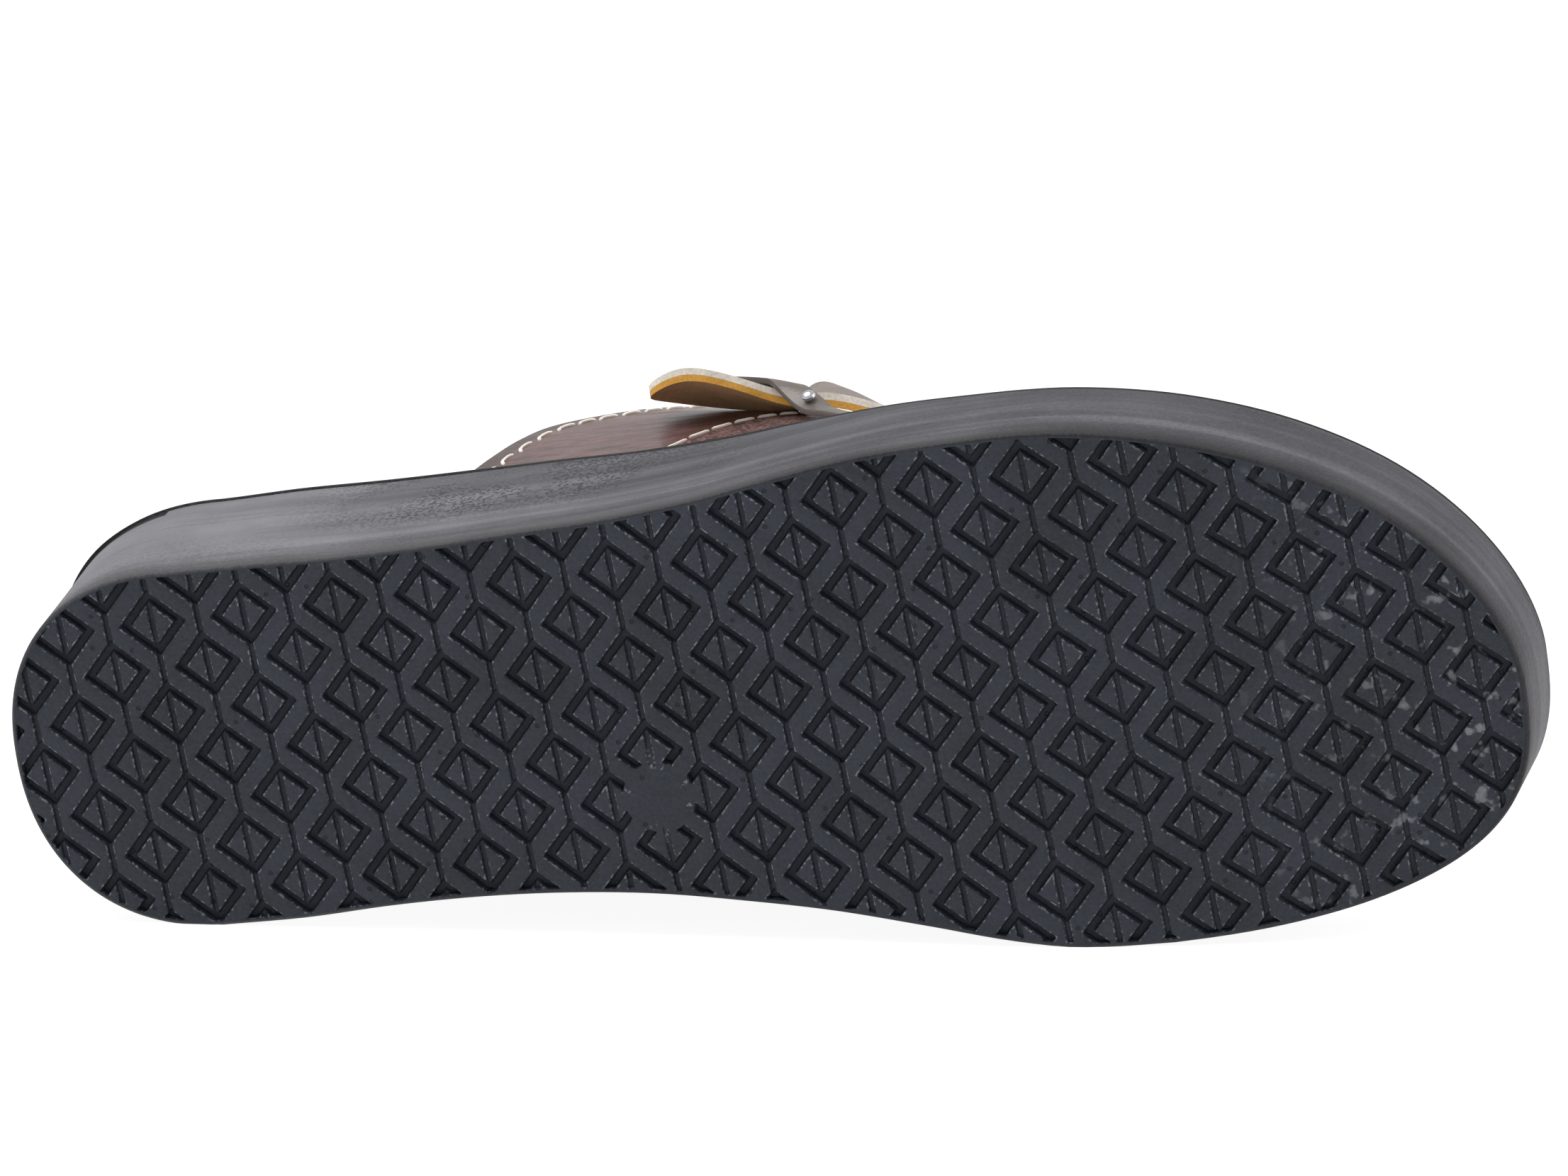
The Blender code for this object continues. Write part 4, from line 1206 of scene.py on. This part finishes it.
    body = node("Mix", {0: on_ground, MIX_A: foot_shaded_wall, MIX_B: tread_with_wear_and_glints}, **COLOURS)
    edged = node("Mix", {0: lip, MIX_A: body, MIX_B: settings.lip}, **COLOURS)
    both = node("Math", {0: grain, 1: cloud}, operation="ADD")
    tone = node("MapRange", {"Value": both, "From Min": 0.7, "From Max": 1.3, "To Min": 0.7, "To Max": 1.3})
    toned = node("VectorMath", {0: edged, SCALE_BY: tone}, operation="SCALE")
    rough = node("MapRange", {"Value": wear_and_glint, "To Min": 0.56, "To Max": 0.3})
    holes = node("Math", {0: pinhole, 1: -3.0, 2: grain}, operation="MULTIPLY_ADD")
    bump = node("Bump", {"Height": holes, "Strength": 0.9, "Distance": 0.3 * MM})
    return dress(material, {"Base Color": toned, "Roughness": rough, "Normal": bump})


def glazed_leather(settings):
    """Glazed calf leather: dark, glossy, finely creased along the shoe, and pebbled in front of the seam."""
    material, node = new_material(
        "glazed_leather", IOR=1.5, Specular_IOR_Level=0.5, Coat_Weight=0.4, Coat_Roughness=0.25
    )
    spot = node("TexCoord", out="Object")
    seam = node("Attribute", out="Fac", attribute_name="ahead_of_seam")
    back = node("Attribute", out="Fac", attribute_name="from_back")
    lining = node("Attribute", out="Fac", attribute_name="back")
    cut = node("Attribute", out="Fac", attribute_name="cut_edge")
    # Creases are 0.8 mm apart and several millimetres long, streaks 3 mm wide and centimetres long
    stretched = node("Mapping", {"Vector": spot, "Scale": (0.12, 1.0, 1.0)})
    crease = node(
        "TexNoise", {"Vector": stretched, "Scale": per_metre(0.8), "Detail": 3.0, "Distortion": 0.6}, "Fac"
    )
    streak = node(
        "TexNoise", {"Vector": stretched, "Scale": per_metre(3.0), "Detail": 5.0, "Roughness": 0.65}, "Fac"
    )
    # Pebbles are drawn at 0.7 mm, coarser than they are, so that they show
    pebble = node("TexVoronoi", {"Vector": spot, "Scale": per_metre(0.7)}, "Distance", feature="SMOOTH_F1")
    margin = node("MapRange", {"Value": seam, "From Min": 0.0, "From Max": 0.4}, **EASED)
    hem = node("MapRange", {"Value": back, "From Min": 3.3, "From Max": 2.7}, **EASED)
    # Painted shade in the creases, and streaks that are partly tone and partly painted sheen: the face runs
    # from the shade colour to the leather colour
    crease_shade_and_streaks = node("Math", {0: streak, 1: crease}, operation="ADD")
    tone = node("MapRange", {"Value": crease_shade_and_streaks, "From Min": 0.75, "From Max": 1.2})
    face = node("Mix", {0: tone, MIX_A: settings.shade, MIX_B: settings.leather}, **COLOURS)
    edge = node("Math", {0: cut, 1: hem}, operation="MAXIMUM")
    hemmed = node("Mix", {0: edge, MIX_A: face, MIX_B: settings.shade}, **COLOURS)
    valley = node("MapRange", {"Value": pebble, "From Min": 0.25, "From Max": 0.5})
    grained = node("Mix", {0: valley, MIX_A: settings.pebbled, MIX_B: settings.shade}, **COLOURS)
    pebbled = node("Mix", {0: margin, MIX_A: hemmed, MIX_B: grained}, **COLOURS)
    lined = node("Mix", {0: lining, MIX_A: pebbled, MIX_B: settings.lining}, **COLOURS)
    matte = node("Math", {0: margin, 1: lining}, operation="MAXIMUM")
    gloss = node(
        "MapRange", {"Value": streak, "From Min": 0.35, "From Max": 0.65, "To Min": 0.42, "To Max": 0.26}
    )
    rough = node("Math", {0: matte, 1: 0.35, 2: gloss}, operation="MULTIPLY_ADD")
    fine = node("Bump", {"Height": crease, "Strength": 0.9, "Distance": 0.4 * MM})
    grain = node("Math", {0: pebble, 1: matte}, operation="MULTIPLY")
    bump = node("Bump", {"Height": grain, "Strength": 0.8, "Distance": 0.25 * MM, "Normal": fine})
    return dress(material, {"Base Color": lined, "Roughness": rough, "Normal": bump})


def waxed_thread(settings):
    """Waxed cotton sewing thread: cream, with the twist of its plies."""
    material, node = new_material("waxed_thread", Roughness=0.6, Sheen_Weight=0.2)
    spot = node("TexCoord", out="Object")
    # The bands come out 2 to 4 mm apart, coarser than the plies
    twist = node(
        "TexWave", {"Vector": spot, "Scale": per_metre(6.0), "Distortion": 1.5}, "Fac",
        bands_direction="DIAGONAL",
    )
    dirt = node("TexNoise", {"Vector": spot, "Scale": per_metre(3.0), "Detail": 2.0}, "Fac")
    tone = node(
        "MapRange", {"Value": dirt, "From Min": 0.3, "From Max": 0.7, "To Min": 0.82, "To Max": 1.05}
    )
    toned = node("VectorMath", {0: settings.thread_colour[:3], SCALE_BY: tone}, operation="SCALE")
    bump = node("Bump", {"Height": twist, "Strength": 0.4, "Distance": 0.08 * MM})
    return dress(material, {"Base Color": toned, "Normal": bump})


def cut_leather(name, face_colour, edge_colour, back_colour):
    """Vegetable-tanned leather: smooth face, fibrous cut edge, napped suede back with pale flecks."""
    material, node = new_material(name, IOR=1.5, Specular_IOR_Level=0.3)
    spot = node("TexCoord", out="Object")
    cut = node("Attribute", out="Fac", attribute_name="cut_edge")
    back = node("Attribute", out="Fac", attribute_name="back")
    fibre = node("TexNoise", {"Vector": spot, "Scale": per_metre(0.5), "Detail": 4.0}, "Fac")
    cloud = node("TexNoise", {"Vector": spot, "Scale": per_metre(5.0), "Detail": 3.0}, "Fac")
    edged = node("Mix", {0: cut, MIX_A: face_colour, MIX_B: edge_colour}, **COLOURS)
    backed = node("Mix", {0: back, MIX_A: edged, MIX_B: back_colour}, **COLOURS)
    fleck = node("MapRange", {"Value": fibre, "From Min": 0.54, "From Max": 0.68, "To Max": 0.8})
    flecks = node("Math", {0: fleck, 1: back}, operation="MULTIPLY")
    flecked = node("Mix", {0: flecks, MIX_A: backed, MIX_B: edge_colour}, **COLOURS)
    both = node("Math", {0: fibre, 1: cloud}, operation="ADD")
    tone = node(
        "MapRange", {"Value": both, "From Min": 0.7, "From Max": 1.3, "To Min": 0.8, "To Max": 1.16}
    )
    toned = node("VectorMath", {0: flecked, SCALE_BY: tone}, operation="SCALE")
    nap = node("Math", {0: cut, 1: back}, operation="MAXIMUM")
    rough = node("MapRange", {"Value": nap, "To Min": 0.45, "To Max": 0.9})
    bump = node("Bump", {"Height": fibre, "Strength": 0.5, "Distance": 0.15 * MM})
    return dress(material, {"Base Color": toned, "Roughness": rough, "Normal": bump})


def smooth_leather(name, tint, roughness, grain_mm):
    """Smooth finished leather: soft tone drift and a fine even grain."""
    material, node = new_material(name, IOR=1.5, Roughness=roughness, Specular_IOR_Level=0.4)
    spot = node("TexCoord", out="Object")
    cloud = node("TexNoise", {"Vector": spot, "Scale": per_metre(8.0), "Detail": 4.0}, "Fac")
    grain = node(
        "TexVoronoi", {"Vector": spot, "Scale": per_metre(grain_mm)}, "Distance", feature="SMOOTH_F1"
    )
    tone = node(
        "MapRange", {"Value": cloud, "From Min": 0.3, "From Max": 0.7, "To Min": 0.8, "To Max": 1.15}
    )
    toned = node("VectorMath", {0: tint[:3], SCALE_BY: tone}, operation="SCALE")
    bump = node("Bump", {"Height": grain, "Strength": 0.3, "Distance": 0.1 * MM})
    return dress(material, {"Base Color": toned, "Normal": bump})


def polished_metal(settings):
    """Polished, plated zinc: bright, with a faint haze from rubbing."""
    material, node = new_material("polished_metal", Metallic=1.0, Base_Color=settings.metal)
    spot = node("TexCoord", out="Object")
    haze = node("TexNoise", {"Vector": spot, "Scale": per_metre(0.6), "Detail": 2.0}, "Fac")
    rough = node("MapRange", {"Value": haze, "To Min": 0.08, "To Max": 0.24})
    return dress(material, {"Roughness": rough})


def opal_acrylic(settings):
    """Opal acrylic panel, cast and lit from below: even white that leaves only faint shadows."""
    material, node = new_material(
        "opal_acrylic", Roughness=0.8, Specular_IOR_Level=0.1, Emission_Color=settings.floor,
        Emission_Strength=settings.glow,
    )
    spot = node("TexCoord", out="Object")
    cloud = node("TexNoise", {"Vector": spot, "Scale": per_metre(400.0), "Detail": 1.0}, "Fac")
    tone = node("MapRange", {"Value": cloud, "To Min": 0.24, "To Max": 0.26})
    toned = node("VectorMath", {0: settings.floor[:3], SCALE_BY: tone}, operation="SCALE")
    return dress(material, {"Base Color": toned})


class FLIPFLOP_OT_sole(bpy.types.Operator):
    """Builds the moulded sole with its tread"""

    bl_idname = "flipflop.sole"
    bl_label = "Moulded sole"

    def execute(self, context):
        settings = context.scene.flipflop_sole
        place_piece("moulded_sole", build_sole(settings), moulded_rubber(settings), "sole")
        return {"FINISHED"}


class FLIPFLOP_OT_insole(bpy.types.Operator):
    """Builds the footbed cover"""

    bl_idname = "flipflop.insole"
    bl_label = "Footbed"

    def execute(self, context):
        tint = context.scene.flipflop_sole.footbed
        leather = smooth_leather("footbed_leather", tint, roughness=0.5, grain_mm=0.8)
        place_piece("footbed", build_insole(), leather, "insole")
        return {"FINISHED"}


class FLIPFLOP_OT_strap(bpy.types.Operator):
    """Builds the leather strap"""

    bl_idname = "flipflop.strap"
    bl_label = "Strap"

    def execute(self, context):
        settings = context.scene.flipflop_strap
        place_piece("stitched_strap", build_upper(), glazed_leather(settings), "upper")
        return {"FINISHED"}


class FLIPFLOP_OT_stitches(bpy.types.Operator):
    """Sews the rows of stitches along the strap's back edge and its seam"""

    bl_idname = "flipflop.stitches"
    bl_label = "Stitches"

    def execute(self, context):
        settings = context.scene.flipflop_strap
        place_piece("strap_stitches", build_stitches(settings), waxed_thread(settings))
        return {"FINISHED"}


class FLIPFLOP_OT_thong(bpy.types.Operator):
    """Builds the thong between the toes"""

    bl_idname = "flipflop.thong"
    bl_label = "Thong"

    def execute(self, context):
        tint = context.scene.flipflop_strap.leather
        leather = smooth_leather("thong_leather", tint, roughness=0.45, grain_mm=0.6)
        place_piece("thong", build_toe_post(), leather, "toe_post")
        return {"FINISHED"}


class FLIPFLOP_OT_bow(bpy.types.Operator):
    """Builds the two leather leaves of the bow"""

    bl_idname = "flipflop.bow"
    bl_label = "Bow leaves"

    def execute(self, context):
        settings = context.scene.flipflop_bow
        tan = cut_leather("tan_leather", settings.tan, settings.tan, settings.suede)
        pale = cut_leather("pale_leather", settings.face, settings.pale, settings.pale)
        seat = LEAF_SEAT + LEAF_THICKNESS + LEAF_JOINT
        place_piece("bow_lower_leaf", build_leaf(LEAF_SEAT), tan, "bow_leaf_under")
        place_piece("bow_upper_leaf", build_leaf(seat), pale, "bow_leaf_top")
        return {"FINISHED"}


class FLIPFLOP_OT_band(bpy.types.Operator):
    """Builds the leather band round the bow's waist"""

    bl_idname = "flipflop.band"
    bl_label = "Band"

    def execute(self, context):
        tint = context.scene.flipflop_bow.band
        leather = smooth_leather("band_leather", tint, roughness=0.28, grain_mm=0.5)
        place_piece("waist_band", build_band(), leather, "bow_band")
        return {"FINISHED"}


class FLIPFLOP_OT_stud(bpy.types.Operator):
    """Builds the polished stud on the band"""

    bl_idname = "flipflop.stud"
    bl_label = "Stud"

    def execute(self, context):
        settings = context.scene.flipflop_bow
        place_piece("dome_stud", build_stud(), polished_metal(settings), "stud")
        return {"FINISHED"}


class FLIPFLOP_OT_stage(bpy.types.Operator):
    """Sets up the floor, the light and the camera"""

    bl_idname = "flipflop.stage"
    bl_label = "Stage"

    def execute(self, context):
        settings = context.scene.flipflop_stage
        scene = context.scene
        bm = bmesh.new()
        bmesh.ops.create_grid(bm, x_segments=FLOOR_CELLS, y_segments=FLOOR_CELLS, size=FLOOR_SIZE)
        mesh = bpy.data.meshes.new("floor")
        bm.to_mesh(mesh)
        bm.free()
        mesh.materials.append(opal_acrylic(settings))
        floor = bpy.data.objects.new("floor", mesh)
        scene.collection.objects.link(floor)

        world = bpy.data.worlds.new("studio")
        world.use_nodes = True
        world.node_tree.nodes["Background"].inputs["Strength"].default_value = settings.sky
        world.node_tree.nodes["Background"].inputs["Color"].default_value = (1.0, 1.0, 1.0, 1.0)
        scene.world = world
        for name, row in LAMPS.items():
            lamp = bpy.data.lights.new(name, "AREA")
            lamp.energy = getattr(settings, name)
            lamp.size = row.size
            light = bpy.data.objects.new(name, lamp)
            light.location = row.place
            towards = Vector(row.aim) - Vector(row.place)
            light.rotation_euler = towards.to_track_quat("-Z", "Y").to_euler()
            scene.collection.objects.link(light)

        lens = bpy.data.cameras.new("camera")
        lens.lens = CAMERA_LENS
        lens.sensor_width = CAMERA_SENSOR
        lens.clip_start, lens.clip_end = CAMERA_CLIP
        camera = bpy.data.objects.new("camera", lens)
        camera.location = CAMERA_PLACE
        camera.rotation_euler = Euler([math.radians(turn) for turn in CAMERA_TURN])
        scene.collection.objects.link(camera)
        scene.camera = camera
        scene.view_settings.view_transform = "Standard"
        return {"FINISHED"}


class FLIPFLOP_PT_pieces(bpy.types.Panel):
    """Lists the pieces of the flip-flop."""

    bl_label = "Flip-flop"
    bl_idname = "FLIPFLOP_PT_pieces"
    bl_space_type = "VIEW_3D"
    bl_region_type = "UI"
    bl_category = "Flip-flop"

    def draw(self, context):
        for operator in OPERATORS:
            self.layout.operator(operator.bl_idname)


SETTINGS = {
    "flipflop_sole": SoleSettings,
    "flipflop_strap": StrapSettings,
    "flipflop_bow": BowSettings,
    "flipflop_stage": StageSettings,
}
OPERATORS = (
    FLIPFLOP_OT_sole,
    FLIPFLOP_OT_insole,
    FLIPFLOP_OT_strap,
    FLIPFLOP_OT_stitches,
    FLIPFLOP_OT_thong,
    FLIPFLOP_OT_bow,
    FLIPFLOP_OT_band,
    FLIPFLOP_OT_stud,
    FLIPFLOP_OT_stage,
)


def register():
    """Registers the settings, the operators and the panel."""
    for name, group in SETTINGS.items():
        bpy.utils.register_class(group)
        setattr(bpy.types.Scene, name, PointerProperty(type=group))
    for cls in (*OPERATORS, FLIPFLOP_PT_pieces):
        bpy.utils.register_class(cls)


def unregister():
    """Takes the panel, the operators and the settings out again."""
    for cls in (FLIPFLOP_PT_pieces, *reversed(OPERATORS)):
        bpy.utils.unregister_class(cls)
    for name, group in SETTINGS.items():
        delattr(bpy.types.Scene, name)
        bpy.utils.unregister_class(group)


def main():
    """Builds every piece and the stage."""
    register()
    for operator in OPERATORS:
        getattr(bpy.ops.flipflop, operator.bl_idname.split(".")[1])()


if __name__ == "__main__":
    main()
